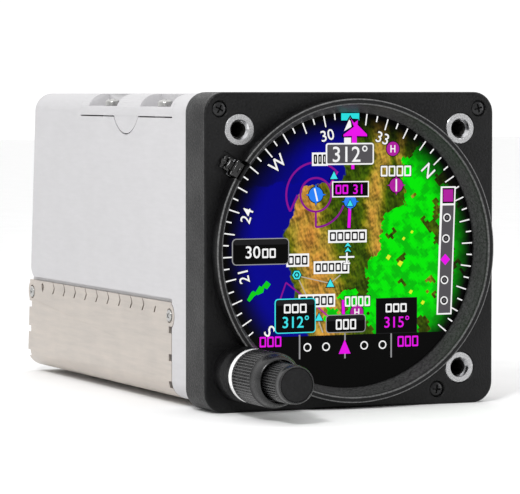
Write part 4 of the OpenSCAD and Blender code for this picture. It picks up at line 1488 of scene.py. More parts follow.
    def course(self) -> None:
        """Draws the course line, the waypoints and the own aircraft."""
        for start, end in (
            ((0.1, 12.0), (-0.2, 5.8)), ((0.9, 22.2), (0.9, 21.0)), ((-1.75, -12.9), (-1.75, -16.6))
        ):
            self.outlined_bar(Ink.MAGENTA, 3, start, end, 0.85)
        self.panel(Ink.BLACK, Ink.WHITE, 5, (-5.0, 13.75), (5.5, 17.9), 0.0, 0.3)
        self.digits(Ink.MAGENTA, 8, "31", (2.3, 15.8), 2.5)
        self.blocks(Ink.MAGENTA, 8, (-4.2, 14.6), (-0.3, 17.0), 2)
        for z in (1.35, 0.05):
            self.shape(
                Ink.BLACK, 4, [(-0.5, z + 0.95), (-1.75, z - 0.75), (-0.5, z - 0.35), (0.75, z - 0.75)])
            self.shape(Ink.CYAN, 5, [(-0.5, z + 0.7), (-1.45, z - 0.55), (-0.5, z - 0.2), (0.45, z - 0.55)])
        for start, end, width in (
            ((-2.95, -1.75), (1.35, -1.75), 0.45), ((-0.8, -0.6), (-0.8, -3.6), 0.5),
            ((-1.75, -3.4), (0.15, -3.4), 0.42)
        ):
            self.outlined_bar(Ink.WHITE, 6, start, end, width)
        for at, size in (
            ((-4.5, 19.4), 1.1), ((-5.5, -8.5), 1.15), ((-8.7, -17.2), 1.1), ((0.1, 12.2), 0.9)
        ):
            x, z = at
            self.shape(
                Ink.BLACK, 6,
                [(x, z + size * 1.3), (x - size * 1.25, z - size), (x + size * 1.25, z - size)])
            self.shape(
                Ink.CYAN, 7,
                [(x, z + size), (x - size * 0.95, z - size * 0.8), (x + size * 0.95, z - size * 0.8)])
        self.stroke(Ink.LINE, 2, [(-14.9, -6.3), (-5.5, -8.5), (-2.6, -6.4)], 0.28)
        self.stroke(Ink.LINE, 2, [(-14.9, -6.3), (-11.8, -12.4)], 0.28)
        self.stroke(Ink.LINE, 2, [(-9.0, -17.6), (-7.6, -21.2)], 0.32)
        self.stroke(Ink.PURPLE, 2, [(-19.6, -12.2), (-18.0, -8.0), (-13.6, -11.3)], 0.4)
        self.stroke(Ink.PLUM, 2, [(-9.0, -14.6), (-6.2, -16.9)], 0.4)

    def airspace(self) -> None:
        """Draws the controlled area's inner circle, stubs and outer arc."""
        centre = (-9.6, 14.5)
        line = 0.52
        self.ring(Ink.PURPLE, 2, centre, 4.35, line)

        def at(radius: float, degrees: float) -> Point:
            """Gives a point round the airport."""
            a = math.radians(degrees)
            return centre[0] + radius * math.cos(a), centre[1] + radius * math.sin(a)

        for first, last in ((210, 44), (-90, -20)):
            sweep = last - first
            path = [at(8.35, first + sweep * k / 24) for k in range(25)]
            self.stroke(Ink.PURPLE, 2, path, line)
        self.stroke(Ink.PURPLE, 2, [at(8.35, 210), at(5.2, 180)], line)
        self.stroke(Ink.PURPLE, 2, [at(8.35, -90), at(4.5, -90)], line)
        self.stroke(Ink.PLUM, 2, [at(8.6, 44), at(4.5, 30)], line)

    def airport(self, ink: Ink, centre: Point, radius: float, turn: float | None, level: int = 4) -> None:
        """Draws an airport: a disc with four lobes and a runway bar.

        Args:
            ink: Its colour.
            centre: Its centre.
            radius: Radius of the disc.
            turn: The runway's turn in degrees, or None for no runway.
            level: Its lowest layer.
        """
        x, z = centre
        for kind, at, grow in ((Ink.BLACK, level, 0.22), (ink, level + 1, 0.0)):
            self.shape(kind, at, disc(centre, radius + grow, 32))
            reach, root = radius * 1.42 + grow, radius * 0.38 + grow
            self.shape(kind, at, [(x - reach, z), (x, z + root), (x + reach, z), (x, z - root)])
            self.shape(kind, at, [(x, z + reach), (x + root, z), (x, z - reach), (x - root, z)])
        if turn is not None:
            a = math.radians(turn)
            dx, dz = math.sin(a) * radius * 0.85, math.cos(a) * radius * 0.85
            self.bar(Ink.WHITE, level + 2, (x - dx, z - dz), (x + dx, z + dz), radius * 0.22)

    def airports(self) -> None:
        """Draws the airports and the heliport's disc."""
        self.airport(Ink.BLUE, (-9.6, 14.5), 2.0, -14)
        self.airport(Ink.BLUE, (0.2, 12.6), 1.75, None, 3)
        self.airport(Ink.PLUM, (13.4, 16.7), 1.9, 0)
        for centre in ((12.4, 26.2), (2.1, -16.2)):
            self.shape(Ink.BLACK, 3, disc(centre, 2.05, 32))
            self.shape(Ink.PLUM, 4, disc(centre, 1.85, 32))
            self.bar(
                Ink.WHITE, 5, (centre[0] - 0.55, centre[1] + 0.95), (centre[0] - 0.55, centre[1] - 0.95),
                0.34)
            self.bar(
                Ink.WHITE, 5, (centre[0] + 0.55, centre[1] + 0.95), (centre[0] + 0.55, centre[1] - 0.95),
                0.34)
            self.bar(Ink.WHITE, 5, (centre[0] - 0.5, centre[1]), (centre[0] + 0.5, centre[1]), 0.3)
        self.blocks(Ink.BLACK, 3, (8.6, 18.8), (18.0, 22.0), 4)
        self.blocks(Ink.WHITE, 4, (8.75, 19.0), (17.85, 21.8), 4)
        hexagon = disc((-15.0, -6.1), 1.25, 6)
        self.shape(Ink.BLACK, 4, disc((-15.0, -6.1), 1.5, 6))
        self.shape(Ink.CYAN, 5, hexagon, disc((-15.0, -6.1), 0.8, 6))
        self.shape(Ink.BLACK, 5, disc((-15.0, -6.1), 0.75, 12))
        self.shape(Ink.CYAN, 6, disc((-15.0, -6.1), 0.42, 12))

    def labels(self) -> None:
        """Draws the waypoint labels and the readout panels."""
        self.label(4, (-6.1, 1.95), (4.9, 5.3), 5)
        self.label(4, (-17.9, -4.0), (-11.5, -0.6), 3)
        self.label(4, (-10.2, -6.0), (-0.1, -2.7), 5)
        self.label(4, (-14.5, -14.6), (-4.1, -11.2), 5)
        self.blocks(Ink.BLACK, 3, (-1.7, -14.9), (6.2, -11.8), 4)
        self.blocks(Ink.WHITE, 4, (-1.5, -14.7), (6.05, -12.0), 4)
        self.panel(Ink.BLACK, Ink.SILVER, 8, (-33.1, -3.3), (-17.2, 3.55), 1.2, 0.24)
        self.shape(Ink.CHARCOAL, 10, box_outline((-32.6, 1.9), (-17.7, 3.2), 0.6, 4))
        self.digits(Ink.WHITE, 11, "30", (-27.3, 0.0), 3.2)
        self.blocks(Ink.WHITE, 11, (-24.9, -1.55), (-20.8, 0.9), 2)
        self.panel(Ink.BLACK, Ink.CYAN, 8, (-21.2, -21.15), (-9.65, -12.15), 1.0, 0.26)
        self.shape(Ink.CHARCOAL, 10, box_outline((-20.8, -13.9), (-10.1, -12.5), 0.6, 4))
        self.blocks(Ink.WHITE, 11, (-18.8, -15.95), (-12.1, -13.55), 3)
        self.digits(Ink.CYAN, 11, "312°", (-15.3, -18.2), 3.0)
        self.panel(Ink.BLACK, Ink.CHARCOAL, 8, (7.6, -22.0), (19.5, -12.7), 0.0, 0.16)
        self.blocks(Ink.WHITE, 11, (10.2, -16.5), (16.6, -14.2), 3)
        self.digits(Ink.MAGENTA, 11, "315°", (13.6, -19.0), 2.9)
        self.panel(Ink.BLACK, Ink.SILVER, 8, (-6.75, -21.4), (4.6, -16.7), 1.0, 0.2)
        self.shape(Ink.CHARCOAL, 10, box_outline((-6.4, -18.3), (4.25, -17.0), 0.6, 4))
        self.blocks(Ink.WHITE, 11, (-4.1, -20.6), (2.0, -17.9), 3)

    def scales(self) -> None:
        """Draws the course scale at the bottom and the glide scale at the right."""
        self.shape(Ink.BLACK, 6, [*arc((0, 0), 36.0, 217.6, 322.4, 40)])
        self.blocks(Ink.MAGENTA, 7, (-25.6, -24.5), (-19.2, -21.8), 3)
        self.blocks(Ink.MAGENTA, 7, (13.7, -25.6), (20.0, -22.8), 3)
        for x, low in ((-14.2, -27.9), (12.0, -28.3)):
            self.bar(Ink.SILVER, 7, (x, -21.6), (x, low), 0.4)
        for start, end in (((-1.3, -21.6), (-1.3, -23.4)), ((-1.3, -26.9), (-1.3, -28.1))):
            self.bar(Ink.SILVER, 7, start, end, 0.4)
        for x in (-12.0, -6.7, 4.2, 9.5):
            self.ring(Ink.WHITE, 7, (x, -24.9), 0.95, 0.32)
        self.shape(Ink.MAGENTA, 7, [(-1.4, -23.2), (-3.1, -26.9), (0.3, -26.9)])
        top, bottom = 16.2, -17.5
        self.shape(Ink.WHITE, 6, [(26.4, top), (30.75, top), (29.6, bottom), (25.25, bottom)])
        self.shape(Ink.GREY, 7, [(26.85, 11.2), (30.2, 11.2), (29.2, bottom + 0.4), (25.65, bottom + 0.4)])
        self.shape(Ink.BLACK, 7, [(26.85, top - 0.4), (30.35, top - 0.4), (30.2, 11.75), (26.85, 11.75)])
        self.shape(Ink.PLUM, 8, box_outline((27.1, 12.2), (29.95, 15.4)))
        for x, z in ((28.2, 8.0), (27.9, 2.5), (27.5, -8.4), (27.4, -13.8)):
            self.ring(Ink.WHITE, 8, (x, z), 0.95, 0.32)
            self.ring(Ink.BLACK, 8, (x, z), 0.62, 0.3)
        self.shape(Ink.MAGENTA, 9, [(27.7, -1.5), (29.1, -3.0), (27.7, -4.5), (26.3, -3.0)])

    def echoes(self) -> None:
        """Draws the small weather echoes."""
        steps = [
            (-28.9, -12.2), (-27.7, -10.2), (-27.1, -9.9), (-26.6, -10.3), (-25.4, -8.6), (-24.9, -9.0),
            (-23.5, -7.4), (-22.3, -8.3), (-23.3, -9.6), (-24.1, -9.2), (-24.4, -10.4), (-25.9, -11.0),
            (-26.3, -10.9), (-27.0, -11.4), (-28.2, -12.7)]
        self.shape(Ink.GREEN, 2, steps)
        for (x, z), size in (
            ((11.2, -2.1), 0.75), ((14.6, -3.8), 0.85), ((17.7, -11.3), 0.6), ((21.2, -14.2), 0.6),
            ((18.0, 4.4), 0.45), ((15.6, 2.7), 0.5)
        ):
            self.shape(
                Ink.YELLOW, 2,
                [
                    (x - size, z - size * 0.2), (x - size * 0.1, z + size), (x + size, z + size * 0.4),
                    (x + size * 0.1, z - size)])

    def map_paint(self) -> bpy.types.Material:
        """Makes the moving map's lit material: sea, shaded hills and weather, fading out at the rim.

        Returns:
            The glass's material.
        """
        graph = Graph("lit_map")
        where = graph.place()
        x, _, z = graph.coordinates()
        ragged = graph.times(graph.minus(graph.noise(where, 0.5, 4), 0.5), 3.2)
        bay = graph.times(graph.minus(graph.noise(where, 0.33, 3), 0.5), 5.0)
        coast = graph.curve(
            graph.plus(z, bay), -MAP_REACH, MAP_REACH,
            (
                (36, 0.5), (28, -1.0), (20, -1.4), (17.6, -2.6), (16.6, -13.2), (14.5, -14.4), (12, -15.2),
                (8, -17.2), (4.5, -19.0), (0, -18.2), (-4, -16.8), (-9, -16.2), (-14, -14.6), (-22, -12.0),
                (-36, -10.0)))
        inland = graph.minus(graph.plus(x, ragged), coast)
        land = graph.step(inland, -0.25, 0.25)
        ridge = self.bands(graph, x, z)
        hills = self.relief(graph, ridge)
        sea = graph.ramp(
            graph.step(inland, -22, 0),
            ((0.0, srgb(0, 0, 96)), (0.5, srgb(0, 0, 142)), (1.0, srgb(2, 0, 136))))
        ground = graph.mix(land, sea, hills)
        wet = graph.mix(self.weather(graph, x, z), ground, self.rain(graph))
        shown = graph.step(graph.radius(x, z), 35.2, 26.5)
        rim = graph.times(shown, graph.plus(graph.times(shown, 0.35), 0.65))
        graph.set(Base_Color=UNLIT, Roughness=0.14, Specular_IOR_Level=0.03)
        graph.set(Emission_Color=graph.mix(rim, (0.0, 0.0, 0.0), wet), Emission_Strength=1.0)
        return graph.material

    @staticmethod
    def bands(graph: Graph, x: object, z: object) -> object:
        """Gives how high the ground stands, from 0 in a valley to 1 on a ridge.

        Args:
            graph: The material's nodes.
            x: X in millimetres.
            z: Z in millimetres.

        Returns:
            The height, from 0 to 1.
        """
        total: object = 0.12
        lines = (
            ((16, -13), (8, -12.5), (0, -10), (-8, -9), (-18, -6)),
            ((30, 9), (22, 9), (12, 6.5), (4, 7.5), (-3, 9), (-20, 12)),
            ((30, 15), (24, 14.5), (12, 18), (4, 19), (-14, 24)))
        for points, width, height in zip(lines, (6.2, 3.0, 1.8), (0.95, 0.72, 0.5)):
            away = graph.apart(x, graph.curve(z, -MAP_REACH, MAP_REACH, points))
            total = graph.plus(total, graph.step(away, width * 1.5, width * 0.15, 0.0, height))
        return total

    @staticmethod
    def relief(graph: Graph, ridge: object) -> object:
        """Colours the ground by height and lights its slopes from one side.

        Args:
            graph: The material's nodes.
            ridge: How high the ground stands.

        Returns:
            The lit colour.
        """
        slanted = graph.place((1.0, 1.0, 0.62), 24)
        shifted = graph.node("ShaderNodeVectorMath", operation="ADD")
        graph.feed(shifted.inputs[0], slanted)
        shifted.inputs[1].default_value = (0.32, 0.0, 0.24)
        here = graph.noise(slanted, 0.42, 6, 0.55)
        there = graph.noise(shifted.outputs[0], 0.42, 6, 0.55)
        height = graph.plus(graph.times(ridge, 0.46), graph.times(here, 0.5))
        colour = graph.ramp(
            height,
            (
                (0.2, srgb(40, 70, 2)), (0.36, srgb(66, 90, 4)), (0.48, srgb(116, 114, 16)),
                (0.6, srgb(170, 144, 50)), (0.74, srgb(192, 140, 56)), (0.92, srgb(170, 106, 46))))
        slope = graph.times(graph.minus(here, there), 5.5)
        light = graph.plus(slope, 0.98)
        shade = graph.step(light, 0.2, 1.8, 0.3, 1.55)
        product = graph.node("ShaderNodeVectorMath", operation="SCALE")
        graph.feed(product.inputs[0], colour)
        graph.feed(product.inputs["Scale"], shade)
        return product.outputs[0]

    @staticmethod
    def grid(graph: Graph, size: float, turn: float) -> object:
        """Gives the point snapped to a turned grid, for square echoes.

        Args:
            graph: The material's nodes.
            size: Width of a cell.
            turn: The grid's turn in degrees.

        Returns:
            The snapped point.
        """
        snapped = graph.node("ShaderNodeVectorMath", operation="SNAP")
        graph.feed(snapped.inputs[0], graph.place((1, 0, 1), turn))
        snapped.inputs[1].default_value = (size, size, size)
        return snapped.outputs[0]

    def weather(self, graph: Graph, x: object, z: object) -> object:
        """Gives where the weather covers the map.

        Args:
            graph: The material's nodes.
            x: X in millimetres.
            z: Z in millimetres.

        Returns:
            1 where the weather covers the map, else 0.
        """
        cells = self.grid(graph, 0.8, ECHO_TURN)
        cell = graph.noise(cells, 0.22, 3)
        edge = graph.curve(
            z, -MAP_REACH, MAP_REACH,
            (
                (36, 26), (27, 20), (24, 15.6), (20, 14.6), (15, 15.2), (11.5, 15.6), (9.5, 10.5), (6, 8.6),
                (3, 9.6), (0, 8.2), (-3, 5.2), (-7, 5.0), (-10, 0.5), (-13, -5.5), (-18, -7.5), (-22, 4.0),
                (-36, 8)))
        inside = graph.minus(graph.plus(x, graph.times(graph.minus(cell, 0.5), 9.0)), edge)
        gap = graph.noise(cells, 0.16, 2)
        return graph.times(graph.math("GREATER_THAN", inside, 0.0), graph.math("LESS_THAN", gap, 0.585))

    def rain(self, graph: Graph) -> object:
        """Gives the two greens of the weather."""
        patch = graph.noise(self.grid(graph, 0.55, ECHO_TURN), 0.34, 4)
        return graph.ramp(graph.step(patch, 0.42, 0.56), ((0.0, srgb(0, 186, 6)), (1.0, srgb(0, 232, 2))))

    def build(self, shop: Workshop) -> None:
        """Places the glass with its map, and one piece for each ink.

        Args:
            shop: Places the pieces.
        """
        glass = turned(
            [(0, self.glass_y), (36.95, self.glass_y), (37.15, self.glass_y + 0.2), (37.15, 3.0), (0, 3.0)],
            192)
        shop.place(
            "lit_glass", glass, "display_glass", stands_for=("cover_glass",), material=self.map_paint())
        for draw in (
            self.rose, self.heading_marks, self.course, self.airspace, self.airports, self.labels,
            self.scales, self.echoes
        ):
            draw()
        for ink, solids in self.sheets.items():
            shop.place(
                f"picture_{ink.name.lower()}", merged(solids), "display_glass", material=ink.paint(),
                smooth=20)


# ---- Enclosure ----


@dataclass
class Enclosure:
    """The painted chassis, its two covers and the rear plate.

    Attributes:
        side: X of the covers' outer faces.
        cover_top: Z of the lower cover's top edge.
        cut_count: Finger cuts along each side.
        cut_first: Y of the first cut.
        cut_pitch: Distance between cuts.
        cut_depth: Height of a cut.
        cut_lean: How far the cut's middle leans to the front.
        cut_width: Width of a cut.
        wall: Thickness of the lower cover.
        corner: Radius of the enclosure's long edges.
        cover_front: Y of the lower cover's front edge.
        lean: Slope of the rear edges.
        notch_rear: Y at which the rear notches start, at the cover's top edge.
        notch_half: Half the height of a notch.
        notch_drops: Distance of each notch below the cover's top edge.
        lid_screws: X and Y of the top cover's screws.
        lid_seat: Z of the seats under their heads.
        ear_screws: Y of the screws in the lower cover's ears.
        ear_z: Z of those screws.
        ear_sunk: How far their heads are sunk.
        ear_half: Half the width of an ear.
        ear_round: Radius of its corners, a hair less so that its sides stay apart.
        ear_low: Z of an ear's bottom.
        ear_high: Z of its top.
        foot_inner: X at which the rounding of the chassis's rear foot starts.
        foot_outer: X at which it ends.
        plate_screws: X and Z of the rear plate's screws.
        plate_seat: Y of the seats under their heads.
    """

    side: float = 40.6
    wall: float = 0.8
    corner: float = 5.0
    cover_front: float = 24.1
    lean: float = 0.092
    notch_rear: float = 133.9
    notch_half: float = 0.9
    notch_drops: tuple[float, ...] = (7.2, 14.5, 21.6)
    cover_top: float = -14.0
    cut_count: int = 11
    cut_first: float = 36.5
    cut_pitch: float = 8.87
    cut_depth: float = 3.3
    cut_lean: float = 1.5
    cut_width: float = 0.46
    lid_screws: tuple[Point, ...] = ((-37.4, 36.3), (37.4, 36.3), (-37.4, 75.7), (37.4, 75.7))
    lid_seat: float = 37.1
    ear_screws: tuple[float, ...] = (25.6, 134.0)
    ear_z: float = -17.5
    ear_sunk: float = 0.45
    ear_half: float = 3.3
    ear_round: float = 3.299
    ear_low: float = -20.8
    ear_high: float = -14.2
    foot_inner: float = 39.72
    foot_outer: float = 41
    plate_screws: tuple[Point, ...] = ((-33.6, 33.4), (33.6, 33.4), (-33.6, -32.4), (33.6, -32.4))
    plate_seat: float = 129.0

    def finger_cuts(self) -> list[bmesh.types.BMesh]:
        """Makes the bent slots along the top edge of the lower cover's sides."""
        top, cutters = self.cover_top, []
        for k in range(self.cut_count):
            y, half = self.cut_first + k * self.cut_pitch, self.cut_width / 2
            kink, middle, foot = y - self.cut_lean, top - self.cut_depth * 0.5, top - self.cut_depth
            foot_half = half * 1.9
            outline = [
                (y - half, top + 0.4), (kink - half, middle), (y - foot_half, foot), (y + foot_half, foot),
                (kink + foot_half, middle), (y + half, top + 0.4)]
            if k == 0:
                outline = [
                    (kink, middle + 0.2), (y - foot_half, foot), (y + foot_half, foot),
                    (kink + 2 * foot_half, middle)]
            if k == self.cut_count - 1:
                outline = [
                    (y - 0.3, top - 0.5), (kink, middle), (y - 0.3, foot), (y + 0.75, foot + 1.1),
                    (y + 0.75, top - 1.0)]
            for side in (-1, 1):
                ends = sorted((side * (self.side - 1.4), side * (self.side + 0.6)))
                cutters.append(plate([outline], *ends, facing=Facing.SIDE))
        return cutters

    def side_block(
        self, low: Point, high: Point, inner: float, outer: float, radius: float = 0.0
    ) -> list[bmesh.types.BMesh]:
        """Makes a block on each side of the enclosure.

        Args:
            low: Lowest Y and Z.
            high: Highest Y and Z.
            inner: Distance of the near face from the middle.
            outer: Distance of the far face from the middle.
            radius: Radius of the block's corners.

        Returns:
            The left and the right block.
        """
        outline = box_outline(low, high, radius, 12)
        return [plate([outline], -outer, -inner, Facing.SIDE), plate([outline], inner, outer, Facing.SIDE)]

    def notches(self, depth: float, slack: float) -> list[bmesh.types.BMesh]:
        """Makes the small openings at the front and rear edges of the lower cover's sides.

        Args:
            depth: How deep they go into the sides.
            slack: How much smaller each side of an opening is.

        Returns:
            The cutters.
        """
        blocks = []
        for drop in self.notch_drops:
            z, rear = self.cover_top - drop, self.notch_rear + self.lean * drop
            half = self.notch_half - slack
            for start, end in (
                (self.cover_front - 0.1 + 2 * slack, self.cover_front + 2), (rear, rear + 12)
            ):
                blocks += self.side_block(
                    (start, z - half), (end, z + half), self.side - depth, self.side + 1)
        return blocks

    def lower(self) -> bmesh.types.BMesh:
        """Makes the folded lower cover with its ears, finger cuts, notches and screw seats."""
        low, high = cad_box("lower_cover")
        top, wall, x = self.cover_top, self.wall, self.side
        left, right, foot = -x + self.corner, x - self.corner, low.z + self.corner
        inner = self.corner - wall
        bend = [
            *arc((left, foot), self.corner, 180, 270, 12), *arc((right, foot), self.corner, 270, 360, 12)]
        inside = [*arc((right, foot), inner, 360, 270, 12), *arc((left, foot), inner, 270, 180, 12)]
        sheet = plate(
            [[(-x, top), *bend, (x, top), (x - wall, top), *inside, (-x + wall, top)]], self.cover_front,
            high.y + 8)
        rear = self.notch_rear + 2
        behind = plate(
            [
                [
                    (rear - self.lean * 10, top + 10), (rear + 40, top + 10), (rear + 40, low.z - 10),
                    (rear + self.lean * (top - low.z + 10), low.z - 10)]],
            -60, 60, Facing.SIDE)
        trimmed = carved(sheet, [behind])
        ears = []
        for y in self.ear_screws:
            low_corner, high_corner = (y - self.ear_half, self.ear_low), (y + self.ear_half, self.ear_high)
            ears += self.side_block(low_corner, high_corner, x - wall, x, self.ear_round)
        whole = carved(trimmed, ears, "UNION")
        return softened(
            carved(whole, self.finger_cuts() + self.notches(1.5, 0.0) + self.screw_seats()), 0.1)

    def chassis(self) -> bmesh.types.BMesh:
        """Makes the chassis with slots behind the lower cover's notches and a rounded rear foot."""
        rear, low, radius = self.notch_rear + 1.3, self.cover_top + 0.7, 4.0
        foot = arc((rear - radius, low + radius), radius, -90, 0, 10)
        outline = [*foot, (rear + 3, low + radius), (rear + 3, low - 0.2), (rear - radius, low - 0.2)]
        corners = [
            plate([outline], -self.foot_outer, -self.foot_inner, Facing.SIDE),
            plate([outline], self.foot_inner, self.foot_outer, Facing.SIDE)]
        return softened(carved(cad_copy("chassis_shell"), self.notches(7.0, 0.15) + corners), 0.22)

    def screw_seats(self) -> list[bmesh.types.BMesh]:
        """Makes the shallow seats round the ear screws."""
        seats = []
        for side in (-1, 1):
            for y in self.ear_screws:
                seat = turned([(0, -1.0), (1.95, -1.0), (1.95, 0), (0, 0)], 40)
                lie = Matrix.Rotation(math.radians(90 * side), 4, "Z")
                seats.append(
                    moved(
                        seat, Matrix.Translation((side * (self.side - self.ear_sunk), y, self.ear_z)) @ lie)
                )
        return seats

    def lid_heads(self) -> bmesh.types.BMesh:
        """Makes the screws of the top cover, standing along Z."""
        low, high = cad_box("top_cover_screws")
        screw = ScrewHead(
            radius=2.0, height=high.z - self.lid_seat, shank=1.2, length=self.lid_seat - low.z)
        stand = Matrix.Rotation(math.radians(-90), 4, "X")
        heads = []
        for (x, y), turn in zip(self.lid_screws, (12, 40, -20, 33)):
            heads.append(moved(screw.build(turn), Matrix.Translation((x, y, self.lid_seat)) @ stand))
        return merged(heads)

    def ear_heads(self) -> bmesh.types.BMesh:
        """Makes the flat screws at the ears of the lower cover, lying along X."""
        screw = ScrewHead(radius=1.6, height=0.95, shank=0.95, length=2.45, arm=1.05, slot=0.36)
        heads = []
        for side in (-1, 1):
            for y, turn in zip(self.ear_screws, (42, 15)):
                lie = Matrix.Rotation(math.radians(90 * side), 4, "Z")
                heads.append(
                    moved(
                        screw.build(turn),
                        Matrix.Translation((side * (self.side - self.ear_sunk), y, self.ear_z)) @ lie))
        return merged(heads)

    def plate_heads(self) -> bmesh.types.BMesh:
        """Makes the screws of the rear plate, facing the rear."""
        low, high = cad_box("rear_plate_screws")
        screw = ScrewHead(
            radius=2.0, height=high.y - self.plate_seat, shank=1.2, length=self.plate_seat - low.y)
        about = Matrix.Rotation(math.radians(180), 4, "Z")
        heads = []
        for (x, z), turn in zip(self.plate_screws, (5, 31, -16, 48)):
            heads.append(moved(screw.build(turn), Matrix.Translation((x, self.plate_seat, z)) @ about))
        return merged(heads)

    def build(self, shop: Workshop) -> None:
        """Places the chassis, its covers, the rear plate and their screws.

        Args:
            shop: Places the pieces.
        """
        shop.place("chassis_piece", self.chassis(), "chassis_paint", stands_for=("chassis_shell",))
        shop.refine("top_cover", 0.16)
        shop.place("lower_cover_piece", self.lower(), "cover_nickel", stands_for=("lower_cover",))
        shop.refine("rear_plate", 0.14)
        shop.place("lid_screw_set", self.lid_heads(), "plain_screw", stands_for=("top_cover_screws",))
        shop.place("ear_screw_set", self.ear_heads(), "plain_screw", stands_for=("lower_cover_screws",))
        shop.place("plate_screw_set", self.plate_heads(), "plain_screw", stands_for=("rear_plate_screws",))


@dataclass
class RearConnectors:
    """The two D-shaped connectors and the antenna jack.

    Attributes:
        face: Y of the inserts' front faces.
        data_rows: Pins in each row of the data connector.
        power_rows: Pins in each row of the power connector.
        pin: Radius of a pin.
        data_place: X and Z of the data connector's middle.
        data_pitch: Distance between its pins, and between its rows.
        power_place: X and Z of the power connector's middle.
        power_pitch: Distance between its pins, and between its rows.
    """

    face: float = 133.4
    data_rows: tuple[int, ...] = (15, 15, 14)
    power_rows: tuple[int, ...] = (5, 4)
    pin: float = 0.5
    data_place: Point = (0, 14)
    data_pitch: Point = (2.29, 1.98)
    power_place: Point = (-13, -10)
    power_pitch: Point = (2.74, 2.84)

    def holes(
        self, rows: Sequence[int], centre: Point, pitch: float, row_gap: float
    ) -> list[bmesh.types.BMesh]:
        """Makes the cutters of the contact holes.

        Args:
            rows: Contacts in each row, from the top.
            centre: X and Z of the insert's middle.
            pitch: Distance between contacts.
            row_gap: Distance between rows.

        Returns:
            One cutter for each contact.
        """
        cutters = []
        for row, count in enumerate(rows):
            z = centre[1] + ((len(rows) - 1) / 2 - row) * row_gap
            for k in range(count):
                x = centre[0] + (k - (count - 1) / 2) * pitch
                profile = [
                    (0, self.face - 3), (self.pin, self.face - 3), (self.pin, self.face - 0.25),
                    (self.pin + 0.25, self.face + 0.3), (0, self.face + 0.3)]
                cutters.append(turned(profile, 16, (x, z)))
        return cutters

    def build(self, shop: Workshop) -> None:
        """Places the connectors, their posts and the antenna jack.

        Args:
            shop: Places the pieces.
        """
        data = carved(
            cad_copy("data_connector_insert"), self.holes(self.data_rows, self.data_place, *self.data_pitch)
        )
        shop.place("data_insert_piece", data, "connector_black", stands_for=("data_connector_insert",))
        power = carved(
            cad_copy("power_connector_insert"),
            self.holes(self.power_rows, self.power_place, *self.power_pitch))
        shop.place("power_insert_piece", power, "connector_black", stands_for=("power_connector_insert",))
        for node, width in (
            ("data_connector_shell", 0.2), ("power_connector_shell", 0.2), ("connector_jack_posts", 0.12),
            ("antenna_jack", 0.1), ("antenna_jack_nut", 0.15), ("antenna_jack_insert", 0.08)
        ):
            shop.refine(node, width)


# ---- Studio ----


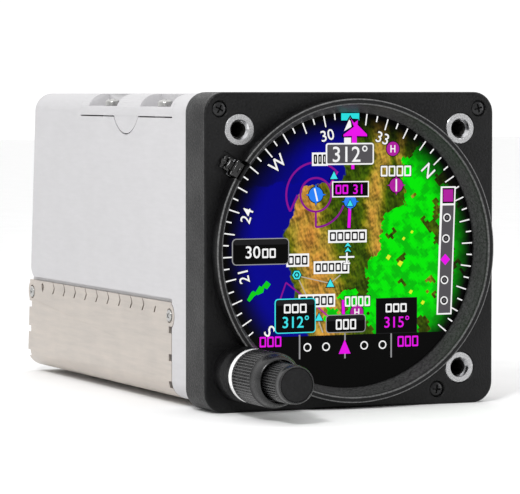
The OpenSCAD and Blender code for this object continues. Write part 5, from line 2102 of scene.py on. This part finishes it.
@dataclass
class Studio:
    """The floor, the lights and the camera.

    Attributes:
        floor: Z of the floor.
        lens: Focal length for a 36 mm sensor.
        azimuth: Turn of the view about Z, in degrees.
        elevation: Height of the view above the horizon, in degrees.
        eye: Place of the camera.
        front_level: Brightness of the surround in front of the object.
        back_level: Brightness of the surround behind it.
        top_level: What is added overhead.
        across: Span of Y over which the surround goes from front to back.
        upward: Span of Z over which the overhead light comes in.
        floor_size: Half the width of the floor.
        sensor: Width of the camera's sensor.
    """

    floor: float = -41.0
    lens: float = 220.3
    azimuth: float = -23.34
    elevation: float = 2.88
    eye: tuple[float, float, float] = (-348.0, -746.7, 42.3)
    front_level: float = 0.36
    back_level: float = 1.08
    top_level: float = 0.55
    across: Point = (-0.6, 0.7)
    upward: Point = (0.15, 1.0)
    floor_size: float = 4000
    sensor: float = 36

    def lay_floor(self) -> None:
        """Lays a large pale floor with a procedural finish."""
        graph = Graph("studio_floor")
        speck = graph.noise(graph.place(), 0.05, 3)
        graph.set(
            Base_Color=graph.ramp(speck, ((0.3, (0.9, 0.9, 0.9)), (0.7, (0.93, 0.93, 0.93)))),
            Roughness=0.7, Specular_IOR_Level=0.2)
        build = bmesh.new()
        bmesh.ops.create_grid(build, x_segments=8, y_segments=8, size=self.floor_size)
        mesh = mesh_from(moved(build, Matrix.Translation((0, 0, self.floor))), "studio_floor")
        mesh.materials.append(graph.material)
        piece = bpy.data.objects.new("studio_floor", mesh)
        bpy.context.scene.collection.objects.link(piece)

    def lamp(
        self, name: str, place: Sequence[float], aim: Sequence[float], size: Point, power: float
    ) -> None:
        """Hangs a soft rectangular light.

        Args:
            name: Its name.
            place: Where it hangs.
            aim: What it points at.
            size: Its width and height.
            power: Its power in watts.
        """
        light = bpy.data.lights.new(name, "AREA")
        light.shape, light.size, light.size_y, light.energy = "RECTANGLE", size[0] * MM, size[1] * MM, power
        holder = bpy.data.objects.new(name, light)
        holder.location = Vector(place) * MM
        holder.rotation_euler = (Vector(aim) - Vector(place)).to_track_quat("-Z", "Y").to_euler()
        bpy.context.scene.collection.objects.link(holder)

    def hang_lights(self) -> None:
        """Sets a pale surround, dimmer in front, brighter behind and overhead, and two soft lights."""
        world = bpy.data.worlds.new("soft_surround")
        bpy.context.scene.world = world
        world.use_nodes = True
        nodes, links = world.node_tree.nodes, world.node_tree.links
        parts, level = nodes.new("ShaderNodeSeparateXYZ"), nodes.new("ShaderNodeMapRange")
        links.new(nodes.new("ShaderNodeTexCoord").outputs["Generated"], parts.inputs[0])
        links.new(parts.outputs["Y"], level.inputs[0])
        for index, value in enumerate((*self.across, self.front_level, self.back_level), start=1):
            level.inputs[index].default_value = value
        height = nodes.new("ShaderNodeMapRange")
        links.new(parts.outputs["Z"], height.inputs[0])
        for index, value in enumerate((*self.upward, 0.0, self.top_level), start=1):
            height.inputs[index].default_value = value
        total = nodes.new("ShaderNodeMath")
        links.new(level.outputs[0], total.inputs[0])
        links.new(height.outputs[0], total.inputs[1])
        links.new(total.outputs[0], nodes["Background"].inputs["Strength"])
        nodes["Background"].inputs["Color"].default_value = (1, 1, 1, 1)
        self.lamp("upper_left_light", place=(-430, -470, 520), aim=(0, 0, 0), size=(170, 130), power=3.6)
        self.lamp("right_light", place=(540, -360, 160), aim=(0, 10, 0), size=(90, 420), power=1.0)

    def set_camera(self) -> None:
        """Sets the camera and the display transform."""
        camera = bpy.data.cameras.new("camera")
        camera.lens, camera.sensor_width, camera.sensor_fit = self.lens, self.sensor, "HORIZONTAL"
        camera.clip_start, camera.clip_end = 0.05, 20
        holder = bpy.data.objects.new("camera", camera)
        a, e = math.radians(self.azimuth), math.radians(self.elevation)
        back = Vector((math.sin(a) * math.cos(e), -math.cos(a) * math.cos(e), math.sin(e)))
        holder.location = Vector(self.eye) * MM
        holder.rotation_mode = "QUATERNION"
        holder.rotation_quaternion = (-back).to_track_quat("-Z", "Y")
        bpy.context.scene.collection.objects.link(holder)
        bpy.context.scene.camera = holder
        bpy.context.scene.view_settings.view_transform = "Standard"

    def build(self) -> None:
        """Sets up the whole studio."""
        self.lay_floor()
        self.hang_lights()
        self.set_camera()


def main() -> None:
    """Builds every sub-assembly in order and reports each piece."""
    logging.basicConfig(level=logging.INFO, format="%(name)s %(message)s")
    paints = Paintbox()
    paints.dress_cad()
    shop = Workshop(paints)
    port = ServicePort()
    BezelFront().build(shop, port)
    port.build(shop)
    KnobStack().build(shop)
    Picture().build(shop)
    Enclosure().build(shop)
    RearConnectors().build(shop)
    Studio().build()
    LOG.info("%d pieces placed", shop.count)


if __name__ == "__main__":
    main()
